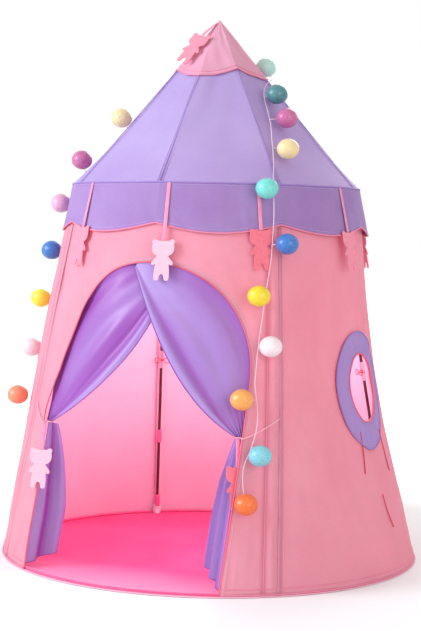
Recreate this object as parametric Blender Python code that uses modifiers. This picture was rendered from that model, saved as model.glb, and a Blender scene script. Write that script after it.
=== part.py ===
"""Round play tent with a pointed roof, modelled piece by piece in metres, +Z up.

The origin is on the ground under the tent's point and the door faces -Y. Angles are
measured from the door's middle, growing towards the window on the +X side.
"""
import math

import bmesh
import bpy
import numpy as np
from mathutils import Matrix, Vector

# Overall sizes
HEIGHT = 1.350
FLOOR_RADIUS = 0.525
EAVE_RADIUS = 0.360
EAVE_HEIGHT = 0.930
TWIST_DEG = 6.0
POLE_COUNT = 4
FIRST_POLE_DEG = 45.0

# Cloth, rods and running clearances
CLOTH = 0.0018
GAP = 0.0003
FLAT_ROOM = 0.0008
ROD_RADIUS = 0.004
MAT_THICKNESS = 0.003
MAT_LIP = 0.002
HOOP_RADIUS = 0.003
HOOP_DROP = 0.015

# Frame fittings
FOOT_RADIUS = 0.011
FOOT_HEIGHT = 0.022
FOOT_FLOOR = 0.005
FERRULE_RADIUS = 0.0056
FERRULE_LENGTH = 0.050
FERRULE_HEIGHT = 0.455
SOCKET_RADIUS = 0.009
SOCKET_LENGTH = 0.040
SOCKET_DEPTH = 0.028
HUB_RADIUS = 0.0135
HUB_SOCKET_RADIUS = 0.0070
HUB_SOCKET_LENGTH = 0.046
HUB_SOCKET_DEPTH = 0.022

# Roof, cap and valance
ROOF_DROP = 0.004
ROOF_OVERHANG = 0.0035
ROOF_EDGE_DROP = 0.002
ROOF_TOP_RADIUS = 0.010
FACET_HEIGHT = 0.150
CAP_DEPTH = 0.152
CAP_SCALLOP = 0.020
VALANCE_DEPTH = 0.115
VALANCE_SCALLOP = 0.022
VALANCE_STAND = 0.003
VALANCE_TOP_DROP = 0.0024

# Door, window and the slack of the wall
DOOR_HALF_WIDTH = 0.275
DOOR_SPRING_HEIGHT = 0.468
DOOR_SLACK_SHARE = 0.21
DOOR_SLACK_HEIGHT = 0.600
DOOR_SLACK_REACH = 0.250
DOOR_PULL = 0.016
DOOR_PULL_REACH = 0.140
PANEL_SAG = (0.041, 0.014, -0.007, 0.0)
WINDOW_DEG = 88.5
WINDOW_HEIGHT = 0.444
WINDOW_RADIUS = 0.083
WINDOW_RING = 0.054
WINDOW_RING_WIDER = 0.010
WINDOW_RING_DROP = 0.009

# Curtains and their tie-backs
NECK_HEIGHT = 0.350
NECK_INSET = 0.002
NECK_DEPTH = 0.017
NECK_HALF_WIDTH = 0.013
NECK_THICKNESS = 0.011
NECK_ROOM = 0.0021
LEFT_TAIL_ROOM = 0.0014
RIGHT_TAIL_ROOM = 0.0020
TAIL_DEPTH = 0.0133
LEFT_TAIL_FOOT = (0.012, 0.0070)
RIGHT_TAIL_FOOT = (-0.002, 0.0133)
CURTAIN_OVERLAP = 0.045
CURTAIN_COVER = 0.010
CURTAIN_DEPTH = 0.0022
CURTAIN_THICKNESS = 0.0022
CURTAIN_FOLD = 0.0075
CURTAIN_LIFT = 0.0085
LEFT_SWAG = (0.0, 0.445)
RIGHT_SWAG = (0.089, 0.437)
LEFT_TAIL_WIDTH = 0.095
RIGHT_TAIL_WIDTH = 0.080
TAIL_FOLD = 0.009
TAIL_THICKNESS = 0.005
TAIL_GROUND_GAP = 0.010
LEFT_TAIL_TURN_DEG = 98.0
RIGHT_TAIL_TURN_DEG = 72.0
LEFT_TAIL_RISE = 0.020
RIGHT_TAIL_RISE = 0.045
TIE_RADIUS = 0.0015
TIE_RISE = 0.045

# Felt bears and their ribbons
BEAR_HEIGHT = 0.100
FELT = 0.002
RIBBON_HALF_WIDTH = 0.0045
KNEE_DROP = 0.100
KNEE_OUT = 0.0040
APEX_RIBBON = 0.048
TIE_RIBBON = 0.058
TIE_BEAR_PAST = 0.0070
TIE_BEAR_DEG = 15.0
RIGHT_BEAR_INSET = 0.0095
LOW_BEAR_RIBBON = 0.128
BEAR_STAND_OFF = 0.0005
BEAR_LEAN = 0.0175
BEAR_ANGLES_DEG = (10.0, 43.0, 82.0, 130.0, 180.0, 228.0, 280.0, 333.0)
APEX_BEAR_DEG = 333.0

# String of ball lights, its lead and its battery box
STRING_RADIUS = 0.001
BALL_RADIUS = 0.0265
BALL_OUT = 0.0215
END_BALL_DROP = 0.015
STEM_RADIUS = 0.0008
BATTERY_SIZE = (0.072, 0.036, 0.020)
BATTERY_ANGLE_DEG = 247.2
BATTERY_GAP = 0.012
WINDOW_CORD_RADIUS = 0.0014

# Counts that set how finely the curved pieces are cut
AROUND_STEPS = 48
PANEL_COLUMNS = 12
PANEL_ROWS = 7
ROD_SIDES = 8
STRING_POINTS = 66

SLOPE = math.atan2(HEIGHT - ROOF_DROP - EAVE_HEIGHT + ROOF_EDGE_DROP, EAVE_RADIUS + ROOF_OVERHANG)
RUN_PER_RISE = math.cos(SLOPE) / math.sin(SLOPE)

# Half outline of a felt bear, from the middle of its head to between its feet: shares of its height
BEAR_HALF_SHARES = (
    (0.130, 0.970), (0.170, 1.000), (0.230, 0.995), (0.262, 0.940), (0.248, 0.885), (0.272, 0.800),
    (0.250, 0.690), (0.135, 0.590), (0.235, 0.470), (0.262, 0.410), (0.220, 0.370), (0.160, 0.410),
    (0.185, 0.150), (0.170, 0.015), (0.080, 0.005),
)
BEAR_CROTCH_SHARE = 0.160

# Route of the light string: angle in degrees, distance from the middle and height in metres
STRING_ROUTE = (
    (36.4, 0.496, 0.224), (36.0, 0.491, 0.250), (36.2, 0.485, 0.287), (38.0, 0.478, 0.322),
    (39.6, 0.472, 0.360), (40.4, 0.465, 0.397), (40.2, 0.458, 0.437), (39.8, 0.452, 0.471),
    (40.2, 0.446, 0.504), (40.8, 0.439, 0.543), (41.9, 0.430, 0.594), (43.3, 0.420, 0.650),
    (44.4, 0.414, 0.697), (45.8, 0.4075, 0.749), (46.6, 0.4015, 0.806), (47.4, 0.392, 0.857),
    (48.0, 0.377, 0.912), (48.6, 0.3641, 0.9287), (51.0, 0.332, 0.980), (55.6, 0.274, 1.040),
    (59.8, 0.237, 1.077), (63.6, 0.202, 1.115), (68.5, 0.170, 1.152), (80.0, 0.148, 1.180),
    (97.0, 0.143, 1.200), (117.0, 0.122, 1.216), (140.0, 0.119, 1.228), (165.0, 0.113, 1.234),
    (196.0, 0.114, 1.234), (224.0, 0.116, 1.228), (246.0, 0.123, 1.216), (262.0, 0.136, 1.196),
    (272.0, 0.172, 1.160), (281.0, 0.236, 1.083), (282.5, 0.283, 1.028), (283.5, 0.333, 0.974),
    (285.5, 0.368, 0.938), (287.5, 0.377, 0.908), (288.5, 0.387, 0.860), (288.0, 0.394, 0.808),
    (287.0, 0.404, 0.758), (287.5, 0.4155, 0.698), (289.5, 0.4275, 0.636), (290.0, 0.439, 0.574),
    (289.5, 0.4505, 0.511), (293.0, 0.460, 0.457), (297.5, 0.4675, 0.408), (294.5, 0.4765, 0.358),
    (287.5, 0.487, 0.302), (279.5, 0.496, 0.245), (272.0, 0.507, 0.180), (264.0, 0.517, 0.115),
    (257.5, 0.535, 0.060), (253.6, 0.548, 0.024), (251.04, 0.5570, 0.0105),
)
# Balls on the string: the place of the stem, counted in route points, and how far beside and above
# it the ball lies, in metres
STRING_BALLS = (
    (3.3, 0.015, -0.018), (6.0, -0.040, 0.003), (9.2, 0.024, 0.005), (11.4, -0.022, 0.003),
    (13.7, 0.029, 0.002), (16.2, -0.025, 0.002), (18.6, 0.025, -0.022), (20.3, 0.034, -0.013),
    (21.9, 0.021, -0.011), (26.2, 0.000, -0.006), (27.6, 0.000, 0.000), (29.5, 0.000, 0.000),
    (33.1, 0.026, 0.013), (35.4, 0.035, 0.025), (37.6, 0.004, 0.002), (40.0, 0.018, 0.002),
    (42.0, 0.013, 0.000), (44.0, 0.006, -0.003), (46.0, 0.040, -0.014),
)
# Way of a tie-back round the door's edge: past the edge and out of the wall, as shares of its radius
TIE_EDGE_SHARES = ((-2.4, 1.9), (1.4, 1.2), (2.3, -0.6), (1.8, -2.9))
# Cords that hang at the window: shares of the window height at the top and bottom, and their angles
WINDOW_CORD_SHARES = ((0.775, 0.555), (0.760, 0.530), (0.430, 0.250))
WINDOW_CORD_DEG = ((80.5, 79.5), (97.0, 99.5), (88.0, 90.5))

COLOURS = {
    "wall": ((0.86, 0.42, 0.50), 0.90, 0.0),
    "roof": ((0.56, 0.46, 0.78), 0.88, 0.0),
    "cap": ((0.93, 0.50, 0.62), 0.90, 0.0),
    "valance": ((0.44, 0.26, 0.60), 0.90, 0.0),
    "mat": ((0.95, 0.14, 0.34), 0.80, 0.0),
    "curtain": ((0.42, 0.22, 0.66), 0.45, 0.0),
    "felt": ((0.93, 0.42, 0.52), 0.95, 0.0),
    "rod": ((0.06, 0.01, 0.02), 0.35, 0.0),
    "ferrule": ((0.72, 0.66, 0.68), 0.30, 1.0),
    "plastic": ((0.86, 0.84, 0.85), 0.45, 0.0),
    "cord": ((0.92, 0.72, 0.78), 0.80, 0.0),
    "lights": ((0.90, 0.86, 0.78), 0.85, 0.0),
}


def clear_scene():
    """Removes the objects of the file that this runs in, and makes the two collections."""
    for item in list(bpy.data.objects):
        bpy.data.objects.remove(item, do_unlink=True)
    parts = bpy.data.collections.new("play_tent")
    cutters = bpy.data.collections.new("play_tent_cutters")
    bpy.context.scene.collection.children.link(parts)
    bpy.context.scene.collection.children.link(cutters)
    return parts, cutters


PARTS, CUTTERS = clear_scene()


def material(name):
    """Principled material with this finish's colour, roughness and metallic value."""
    made = bpy.data.materials.get(name)
    if made:
        return made
    colour, roughness, metallic = COLOURS[name]
    made = bpy.data.materials.new(name)
    made.use_nodes = True
    shader = made.node_tree.nodes["Principled BSDF"]
    shader.inputs["Base Color"].default_value = (*colour, 1.0)
    shader.inputs["Roughness"].default_value = roughness
    shader.inputs["Metallic"].default_value = metallic
    return made


def place(name, data, finish, parent=None, rotation_z=0.0):
    """Puts a mesh or curve into the tent's collection under its node name."""
    item = bpy.data.objects.new(name, data)
    PARTS.objects.link(item)
    data.materials.clear()
    data.materials.append(material(finish))
    item.parent = parent
    item.rotation_euler[2] = rotation_z
    return item


def ring_point(angle_deg, radius, height):
    """Point at an angle from the door's middle, a distance from the axis and a height."""
    angle = math.radians(angle_deg)
    return Vector((radius * math.sin(angle), -radius * math.cos(angle), height))


def outward(angle_deg):
    """Unit vector away from the axis at an angle."""
    return ring_point(angle_deg, 1, 0)


def sideways(angle_deg):
    """Unit vector along the wall, towards growing angles."""
    angle = math.radians(angle_deg)
    return Vector((math.cos(angle), math.sin(angle), 0))


def wall_radius(angle_deg, height):
    """Outer radius of the wall: straight from floor to eave, drawn in or blown out between two poles."""
    share = height / EAVE_HEIGHT
    straight = FLOOR_RADIUS + (EAVE_RADIUS - FLOOR_RADIUS) * share
    from_pole = (angle_deg - FIRST_POLE_DEG) % 360
    sag = PANEL_SAG[int(from_pole // 90)]
    if not 0 < share < 1:
        return straight
    return straight - sag * math.sin(math.radians(2 * (from_pole % 90))) * math.sin(math.pi * share) ** 1.5


def wall_point(angle_deg, height, out=0.0):
    """Point on the wall; its angle is counted at the floor and turns with the twist as it rises."""
    turned = angle_deg + TWIST_DEG * height / EAVE_HEIGHT
    return ring_point(turned, wall_radius(angle_deg, height) + out, height)


def wall_angle(along, height):
    """Angle of a place that lies this far along the wall from the door's middle."""
    return math.degrees(along / (FLOOR_RADIUS + (EAVE_RADIUS - FLOOR_RADIUS) * height / EAVE_HEIGHT))


def closed_sheet(name, outer, inner, finish, close_across=False, poles=None):
    """Closed sheet of cloth between two matching grids of points, outer and inner.

    A sheet that is closed across goes all the way round; poles are the two tips that it ends in. Both
    faces are split into triangles along the same diagonals, so they stay one cloth's thickness apart.
    """
    rows, columns = len(outer), len(outer[0])
    points = [tuple(point) for row in outer for point in row] + [tuple(point) for row in inner for point in row]
    back = rows * columns
    faces = []
    for row in range(rows - 1):
        for column in range(columns if close_across else columns - 1):
            after = (column + 1) % columns
            quad = [row * columns + column, row * columns + after,
                    (row + 1) * columns + after, (row + 1) * columns + column]
            corners = [Vector(points[index]) for index in quad]
            if (corners[0] - corners[2]).length > (corners[1] - corners[3]).length:
                quad = quad[1:] + quad[:1]
            for half in ((quad[0], quad[1], quad[2]), (quad[2], quad[3], quad[0])):
                faces.append(half)
                faces.append(tuple(back + index for index in reversed(half)))
    if close_across:
        borders = [[0 * columns + column for column in range(columns)]]
        if poles is None:
            borders.append([(rows - 1) * columns + column for column in reversed(range(columns))])
    else:
        edge = list(range(columns))
        edge += [row * columns + columns - 1 for row in range(1, rows)]
        edge += [(rows - 1) * columns + column for column in range(columns - 2, -1, -1)]
        edge += [row * columns for row in range(rows - 2, 0, -1)]
        borders = [edge]
    for edge in borders:
        for here, there in zip(edge, edge[1:] + edge[:1]):
            faces.append((there, here, back + here, back + there))
    if poles is not None:
        last = (rows - 1) * columns
        points += [tuple(pole) for pole in poles]
        for column in range(columns):
            after = (column + 1) % columns
            faces.append((last + column, last + after, 2 * back))
            faces.append((back + last + after, back + last + column, 2 * back + 1))
    mesh = bpy.data.meshes.new(name)
    mesh.from_pydata(points, [], faces)
    face_outwards(mesh)
    mesh.shade_smooth()
    return place(name, mesh, finish)


def wall_sheet(name, places, finish, out=0.0, close_across=False):
    """Cloth on the wall through rows of angle and height pairs, thickened inwards."""
    outer = [[wall_point(angle, height, out) for angle, height in row] for row in places]
    inner = [[wall_point(angle, height, out - CLOTH) for angle, height in row] for row in places]
    return closed_sheet(name, outer, inner, finish, close_across)


def fan(inner, outer, shares):
    """Rows of angle and height pairs between two matching outlines."""
    return [[(a[0] + (b[0] - a[0]) * share, a[1] + (b[1] - a[1]) * share) for a, b in zip(inner, outer)]
            for share in shares]


def padded_sheet(name, middle, thickness, finish, origin=(0, 0, 0)):
    """Closed sheet around a middle surface, as thick at each point as thickness says."""
    middle = np.asarray(middle)
    across = np.gradient(middle, axis=1)
    down = np.gradient(middle, axis=0)
    normal = np.cross(across, down)
    normal /= np.linalg.norm(normal, axis=2, keepdims=True)
    half = np.asarray(thickness)[..., None] / 2
    start = np.asarray(origin)
    item = closed_sheet(name, middle + normal * half - start, middle - normal * half - start, finish)
    item.location = origin
    return item


def face_outwards(mesh):
    """Turns a closed mesh's faces outwards and welds what coincides."""
    shape = bmesh.new()
    shape.from_mesh(mesh)
    bmesh.ops.remove_doubles(shape, verts=shape.verts, dist=GAP / 100)
    bmesh.ops.recalc_face_normals(shape, faces=shape.faces)
    shape.to_mesh(mesh)
    shape.free()


def evaluated(item, name):
    """Mesh of an object with its modifiers applied and its own place kept; the object is removed."""
    bpy.context.view_layer.update()
    graph = bpy.context.evaluated_depsgraph_get()
    mesh = bpy.data.meshes.new_from_object(item.evaluated_get(graph))
    mesh.transform(item.matrix_world)
    mesh.name = name
    bpy.data.objects.remove(item, do_unlink=True)
    face_outwards(mesh)
    return mesh


def rod_mesh(name, radius, start, end, sides=ROD_SIDES):
    """Cylinder between two points."""
    start, end = Vector(start), Vector(end)
    shape = bmesh.new()
    bmesh.ops.create_cone(shape, cap_ends=True, segments=sides, radius1=radius, radius2=radius,
                          depth=(end - start).length)
    turn = (end - start).to_track_quat("Z", "Y").to_matrix().to_4x4()
    bmesh.ops.transform(shape, matrix=Matrix.Translation((start + end) / 2) @ turn, verts=shape.verts)
    mesh = bpy.data.meshes.new(name)
    shape.to_mesh(mesh)
    shape.free()
    return mesh


def ball_mesh(name, radius, centre, sides, rings):
    """Sphere around a point."""
    shape = bmesh.new()
    bmesh.ops.create_uvsphere(shape, u_segments=sides, v_segments=rings, radius=radius)
    bmesh.ops.translate(shape, vec=centre, verts=shape.verts)
    mesh = bpy.data.meshes.new(name)
    shape.to_mesh(mesh)
    shape.free()
    return mesh


def carved(name, base, added=(), cut=()):
    """Mesh of a base with other meshes joined to it and further ones cut out of it."""
    item = bpy.data.objects.new(name, base)
    CUTTERS.objects.link(item)
    tools = []
    for operation, meshes in (("UNION", added), ("DIFFERENCE", cut)):
        for mesh in meshes:
            tool = bpy.data.objects.new(mesh.name, mesh)
            CUTTERS.objects.link(tool)
            tool.hide_render = True
            tool.display_type = "WIRE"
            step = item.modifiers.new(operation.lower(), "BOOLEAN")
            step.operation = operation
            step.solver = "EXACT"
            step.object = tool
            tools.append(tool)
    mesh = evaluated(item, name)
    for tool in tools:
        bpy.data.objects.remove(tool, do_unlink=True)
    return mesh


def turned(name, profile, steps):
    """Mesh of a profile of radius and height pairs, turned about Z and closed."""
    mesh = bpy.data.meshes.new(name)
    mesh.from_pydata([(radius, 0, height) for radius, height in profile],
                     [(index, index + 1) for index in range(len(profile) - 1)], [])
    item = bpy.data.objects.new(name, mesh)
    CUTTERS.objects.link(item)
    screw = item.modifiers.new("turn", "SCREW")
    screw.steps = steps
    screw.render_steps = steps
    screw.use_merge_vertices = True
    screw.merge_threshold = GAP / 10
    return evaluated(item, name)


def smooth_path(points, count):
    """The given points with more between them, on a Catmull-Rom curve, where the way bends most."""
    points = np.asarray(points, dtype=float)
    steps = np.diff(points, axis=0)
    along = steps / np.linalg.norm(steps, axis=1, keepdims=True)
    bends = np.zeros(len(points))
    bends[1:-1] = np.arccos(np.clip(np.sum(along[:-1] * along[1:], axis=1), -1, 1))
    wanted = set(np.argsort(-(bends[:-1] + bends[1:]))[:max(0, count - len(points))])
    padded = np.concatenate([2 * points[:1] - points[1:2], points, 2 * points[-1:] - points[-2:-1]])
    path = []
    for index in range(len(points) - 1):
        before, here, there, after = padded[index:index + 4]
        path.append(here)
        if index in wanted:
            path.append((here + there) / 2 + (here + there - before - after) / 16)
    path = np.array(path + [points[-1]])
    return path, float(np.linalg.norm(np.diff(path, axis=0), axis=1).sum())


def tube(name, points, radius, finish, sides_share=2):
    """Cord as a poly curve with a round bevel and filled caps."""
    curve = bpy.data.curves.new(name, "CURVE")
    curve.dimensions = "3D"
    curve.bevel_depth = radius
    curve.bevel_resolution = sides_share
    curve.use_fill_caps = True
    spline = curve.splines.new("POLY")
    spline.points.add(len(points) - 1)
    spline.points.foreach_set("co", np.column_stack([points, np.ones(len(points))]).ravel())
    return place(name, curve, finish)


def tube_mesh(name, points, radius, sides_share=2):
    """The same cord as a closed mesh, for joining with what it carries."""
    item = tube(name, points, radius, "cord", sides_share)
    return evaluated(item, name)


# Frame: hub, rafters, corner fittings, legs, ferrules and feet
WALL_LEAN = (FLOOR_RADIUS - EAVE_RADIUS) / EAVE_HEIGHT
EAVE_HOOP_HEIGHT = EAVE_HEIGHT - HOOP_DROP
BASE_HOOP_HEIGHT = MAT_THICKNESS + GAP + HOOP_RADIUS
EAVE_HOOP_SIZE = (FLOOR_RADIUS - WALL_LEAN * (EAVE_HOOP_HEIGHT + HOOP_RADIUS)
                  - CLOTH - GAP - 2 * FLAT_ROOM - HOOP_RADIUS)
BASE_HOOP_SIZE = (FLOOR_RADIUS - WALL_LEAN * (BASE_HOOP_HEIGHT + HOOP_RADIUS)
                  - CLOTH - GAP - FLAT_ROOM - HOOP_RADIUS)
LEG_TOP_RADIUS = (EAVE_HOOP_SIZE - HOOP_RADIUS - 2 * GAP - SOCKET_RADIUS
                  - WALL_LEAN * (HOOP_DROP - HOOP_RADIUS))
LEG_FOOT_RADIUS = BASE_HOOP_SIZE - HOOP_RADIUS - GAP - FOOT_RADIUS
CORNER_HEIGHT = EAVE_HEIGHT - ROOF_EDGE_DROP
CORNER = ring_point(FIRST_POLE_DEG + TWIST_DEG, LEG_TOP_RADIUS, CORNER_HEIGHT)
FOOT = ring_point(FIRST_POLE_DEG, LEG_FOOT_RADIUS, MAT_THICKNESS + GAP + FOOT_RADIUS * math.sin(
    math.atan2(LEG_FOOT_RADIUS - LEG_TOP_RADIUS, CORNER_HEIGHT)))
HUB_CENTRE = Vector((0, 0, CORNER_HEIGHT + LEG_TOP_RADIUS / RUN_PER_RISE))


def frame():
    """Four legs in two lengths with ferrules, four rafters, corner fittings, feet and the hub."""
    up_leg = (CORNER - FOOT).normalized()
    up_rafter = (HUB_CENTRE - CORNER).normalized()
    leg_bore = ROD_RADIUS + GAP
    joint = FOOT + up_leg * (FERRULE_HEIGHT - FOOT.z) / up_leg.z

    foot = carved("foot_cap", rod_mesh("foot_body", FOOT_RADIUS, FOOT, FOOT + up_leg * FOOT_HEIGHT, 16),
                  cut=[rod_mesh("foot_bore", leg_bore, FOOT + up_leg * FOOT_FLOOR,
                                FOOT + up_leg * (FOOT_HEIGHT + FOOT_FLOOR), 12)])
    ferrule = carved("leg_ferrule", rod_mesh("ferrule_body", FERRULE_RADIUS, joint - up_leg * FERRULE_LENGTH / 2,
                                             joint + up_leg * FERRULE_LENGTH / 2, 14),
                     cut=[rod_mesh("ferrule_bore", leg_bore, joint - up_leg * FERRULE_LENGTH,
                                   joint + up_leg * FERRULE_LENGTH, 14)])
    corner = carved("eave_connector", ball_mesh("corner_ball", SOCKET_RADIUS, CORNER, 12, 8),
                    added=[rod_mesh("leg_socket", SOCKET_RADIUS, CORNER, CORNER - up_leg * SOCKET_LENGTH, 12),
                           rod_mesh("rafter_socket", SOCKET_RADIUS - GAP, CORNER,
                                    CORNER + up_rafter * SOCKET_LENGTH, 12)],
                    cut=[rod_mesh("leg_bore", leg_bore, CORNER - up_leg * (SOCKET_LENGTH - SOCKET_DEPTH),
                                  CORNER - up_leg * 2 * SOCKET_LENGTH, 12),
                         rod_mesh("rafter_bore", leg_bore, CORNER + up_rafter * (SOCKET_LENGTH - SOCKET_DEPTH),
                                  CORNER + up_rafter * 2 * SOCKET_LENGTH, 12)])
    lower = rod_mesh("lower_leg", ROD_RADIUS, FOOT + up_leg * (FOOT_FLOOR + GAP), joint - up_leg * GAP / 2)
    upper = rod_mesh("upper_leg", ROD_RADIUS, joint + up_leg * GAP / 2,
                     CORNER - up_leg * (SOCKET_LENGTH - SOCKET_DEPTH + GAP))
    rafter = rod_mesh("rafter", ROD_RADIUS, CORNER + up_rafter * (SOCKET_LENGTH - SOCKET_DEPTH + GAP),
                      HUB_CENTRE - up_rafter * (HUB_SOCKET_LENGTH - HUB_SOCKET_DEPTH + GAP))
    for index, where in enumerate(("front_right", "back_right", "back_left", "front_left")):
        turn = 2 * math.pi * index / POLE_COUNT
        for kind, mesh, finish in (("foot_cap", foot, "plastic"), ("leg_ferrule", ferrule, "ferrule"),
                                   ("eave_connector", corner, "plastic"), ("lower_leg", lower, "rod"),
                                   ("upper_leg", upper, "rod"), ("rafter", rafter, "rod")):
            place(kind + "_" + where, mesh, finish, rotation_z=turn)
    hub_sockets = []
    hub_bores = []
    for index in range(POLE_COUNT):
        along = Matrix.Rotation(2 * math.pi * index / POLE_COUNT, 3, "Z") @ -up_rafter
        hub_sockets.append(rod_mesh("hub_socket", HUB_SOCKET_RADIUS, HUB_CENTRE,
                                    HUB_CENTRE + along * HUB_SOCKET_LENGTH, 10))
        hub_bores.append(rod_mesh("hub_bore", leg_bore,
                                  HUB_CENTRE + along * (HUB_SOCKET_LENGTH - HUB_SOCKET_DEPTH),
                                  HUB_CENTRE + along * 2 * HUB_SOCKET_LENGTH, 10))
    hub = carved("apex_hub", ball_mesh("hub_ball", HUB_RADIUS, HUB_CENTRE - Vector((0, 0, HUB_SOCKET_RADIUS)), 12, 8),
                 added=hub_sockets, cut=hub_bores)
    place("apex_hub", hub, "plastic")


def hoop(name, centre_radius, height, turn_deg, sides=6):
    """Ring of springy rod that spreads the cloth, turned as a closed profile."""
    shape = [(centre_radius + HOOP_RADIUS * math.cos(step), height + HOOP_RADIUS * math.sin(step))
             for step in np.linspace(math.pi, -math.pi, sides + 1)]
    place(name, turned(name, shape, AROUND_STEPS), "rod", rotation_z=math.radians(turn_deg))


def floor_mat():
    """Round floor sheet with a thin lip outside the wall."""
    radius = FLOOR_RADIUS + MAT_LIP
    edge = MAT_THICKNESS / 3
    profile = [(0, MAT_THICKNESS), (radius - edge, MAT_THICKNESS), (radius, MAT_THICKNESS - edge), (radius, 0), (0, 0)]
    place("floor_mat", turned("floor_mat", profile, AROUND_STEPS), "mat")


# Wall panels, between heights that keep clear of the mat and the roof
WALL_FOOT = MAT_THICKNESS + GAP
WALL_TOP = EAVE_HEIGHT - ROOF_EDGE_DROP + GAP
SEAM_DEG = math.degrees(GAP / 2 / EAVE_RADIUS)
POLE_SPACING_DEG = 360 / POLE_COUNT


def bump(height, centre, reach):
    """Smooth hump of height one around a centre."""
    share = abs(height - centre) / reach
    return math.cos(math.pi / 2 * share) ** 2 if share < 1 else 0.0


def door_half(height, side):
    """How far the door's edge lies from its middle; the left edge hangs slack above the tie-back."""
    above = max(0.0, height - DOOR_SPRING_HEIGHT)
    half = math.sqrt(max(0.0, DOOR_HALF_WIDTH ** 2 - above ** 2))
    if side > 0:
        return half
    pulled = DOOR_PULL * bump(height, NECK_HEIGHT, DOOR_PULL_REACH)
    return half * (1 - DOOR_SLACK_SHARE * bump(height, DOOR_SLACK_HEIGHT, DOOR_SLACK_REACH)) + pulled


def panel_border(middle_deg, heights):
    """Angle and height pairs around a panel, anticlockwise from its lower left corner, without its foot."""
    half = 45 - SEAM_DEG
    left = [(middle_deg - half, height) for height in reversed(heights)]
    top = [(middle_deg + half * step, WALL_TOP) for step in np.linspace(-1, 1, PANEL_COLUMNS + 1)[1:-1]]
    right = [(middle_deg + half, height) for height in heights]
    return left, top, right


def front_panel():
    """Front wall panel, a loft between the door's outline and the panel's border."""
    low = list(np.linspace(DOOR_SPRING_HEIGHT, NECK_HEIGHT, 4)) + list(np.linspace(NECK_HEIGHT, WALL_FOOT, 6))[1:]
    high = list(np.linspace(WALL_TOP, DOOR_SPRING_HEIGHT, 8))[:-1]
    left, top, right = panel_border(0.0, high + low)
    outer = left + top + right
    inner = []
    for angle, height in outer:
        side = -1 if angle < 0 else 1
        if height > DOOR_SPRING_HEIGHT:
            along = math.radians(angle) * wall_radius(0, height)
            turn = math.atan2(height - DOOR_SPRING_HEIGHT, along)
            height = DOOR_SPRING_HEIGHT + DOOR_HALF_WIDTH * math.sin(turn)
            half = door_half(height, side) if abs(math.cos(turn)) > GAP else 0
        else:
            half = door_half(height, side)
        inner.append((wall_angle(side * half, height), height))
    wall_sheet("wall_panel_front", fan(inner, outer, np.linspace(1, 0, 5)), "wall")


def window_ring(turns, reach):
    """Angle and height pairs around the window, this far beyond its edge, with the ring's lower droop."""
    points = []
    for turn in turns:
        radius = WINDOW_RADIUS + reach
        height = WINDOW_HEIGHT + radius * math.sin(turn)
        height -= WINDOW_RING_DROP * reach / WINDOW_RING * max(0.0, -math.sin(turn)) ** 3
        along = radius * math.cos(turn) - WINDOW_RING_WIDER * reach / WINDOW_RING * max(0.0, -math.cos(turn))
        points.append((WINDOW_DEG + wall_angle(along, height), height))
    return points


def side_panel():
    """Panel on the +X side with its round window, and the ring of cloth sewn around that."""
    middle = FIRST_POLE_DEG + POLE_SPACING_DEG / 2
    left, top, right = panel_border(middle, list(np.linspace(WALL_TOP, WALL_FOOT, 9)))
    foot = [(angle, WALL_FOOT) for angle, _ in reversed(top)]
    outer = left + top + right + foot
    turns = [math.atan2(height - WINDOW_HEIGHT, math.radians(angle - WINDOW_DEG) * wall_radius(0, height))
             for angle, height in outer]
    wall_sheet("wall_panel_window", fan(window_ring(turns, 0.0), outer, (1, 0.7, 0.4, 0.16, 0)), "wall",
               close_across=True)
    rows = [window_ring(np.linspace(2 * math.pi, 0, 32, endpoint=False), reach)
            for reach in np.linspace(-CLOTH, WINDOW_RING, 4)]
    wall_sheet("window_trim", rows, "valance", CLOTH + GAP + FLAT_ROOM, close_across=True)


def plain_panel(name, first_deg):
    """Wall panel with no opening, from one pole seam to the next."""
    angles = np.linspace(first_deg + SEAM_DEG, first_deg + 90 - SEAM_DEG, PANEL_COLUMNS + 1)
    wall_sheet(name, [[(angle, height) for angle in angles]
                      for height in np.linspace(WALL_FOOT, WALL_TOP, PANEL_ROWS)], "wall")


def facet(angle_deg, share):
    """Shrinks a round section towards an eight-sided one between its ridges."""
    from_ridge = (angle_deg - TWIST_DEG) % 45 - 22.5
    flat = math.cos(math.radians(22.5)) / math.cos(math.radians(from_ridge))
    return 1 - share * (1 - flat)


def roof_radius(angle_deg, height, top):
    """Radius of a roof surface that comes to a point at this top, eight-sided above the eave."""
    share = min(1.0, max(0.0, (height - EAVE_HEIGHT) / FACET_HEIGHT))
    return (top - height) * RUN_PER_RISE * facet(angle_deg, share)


def scallop(angle_deg):
    """Zero at the eight seams and one midway between them, with a pointed step at each seam."""
    return math.sin(math.pi * (((angle_deg - TWIST_DEG) % 45) / 45))


def cone_rows(angles, heights, top, inset):
    """Rows of points on a roof surface, moved inwards by an inset."""
    return [[ring_point(angle, roof_radius(angle, height, top) - inset, height)
             for angle, height in zip(angles, row)] for row in heights]


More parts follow.
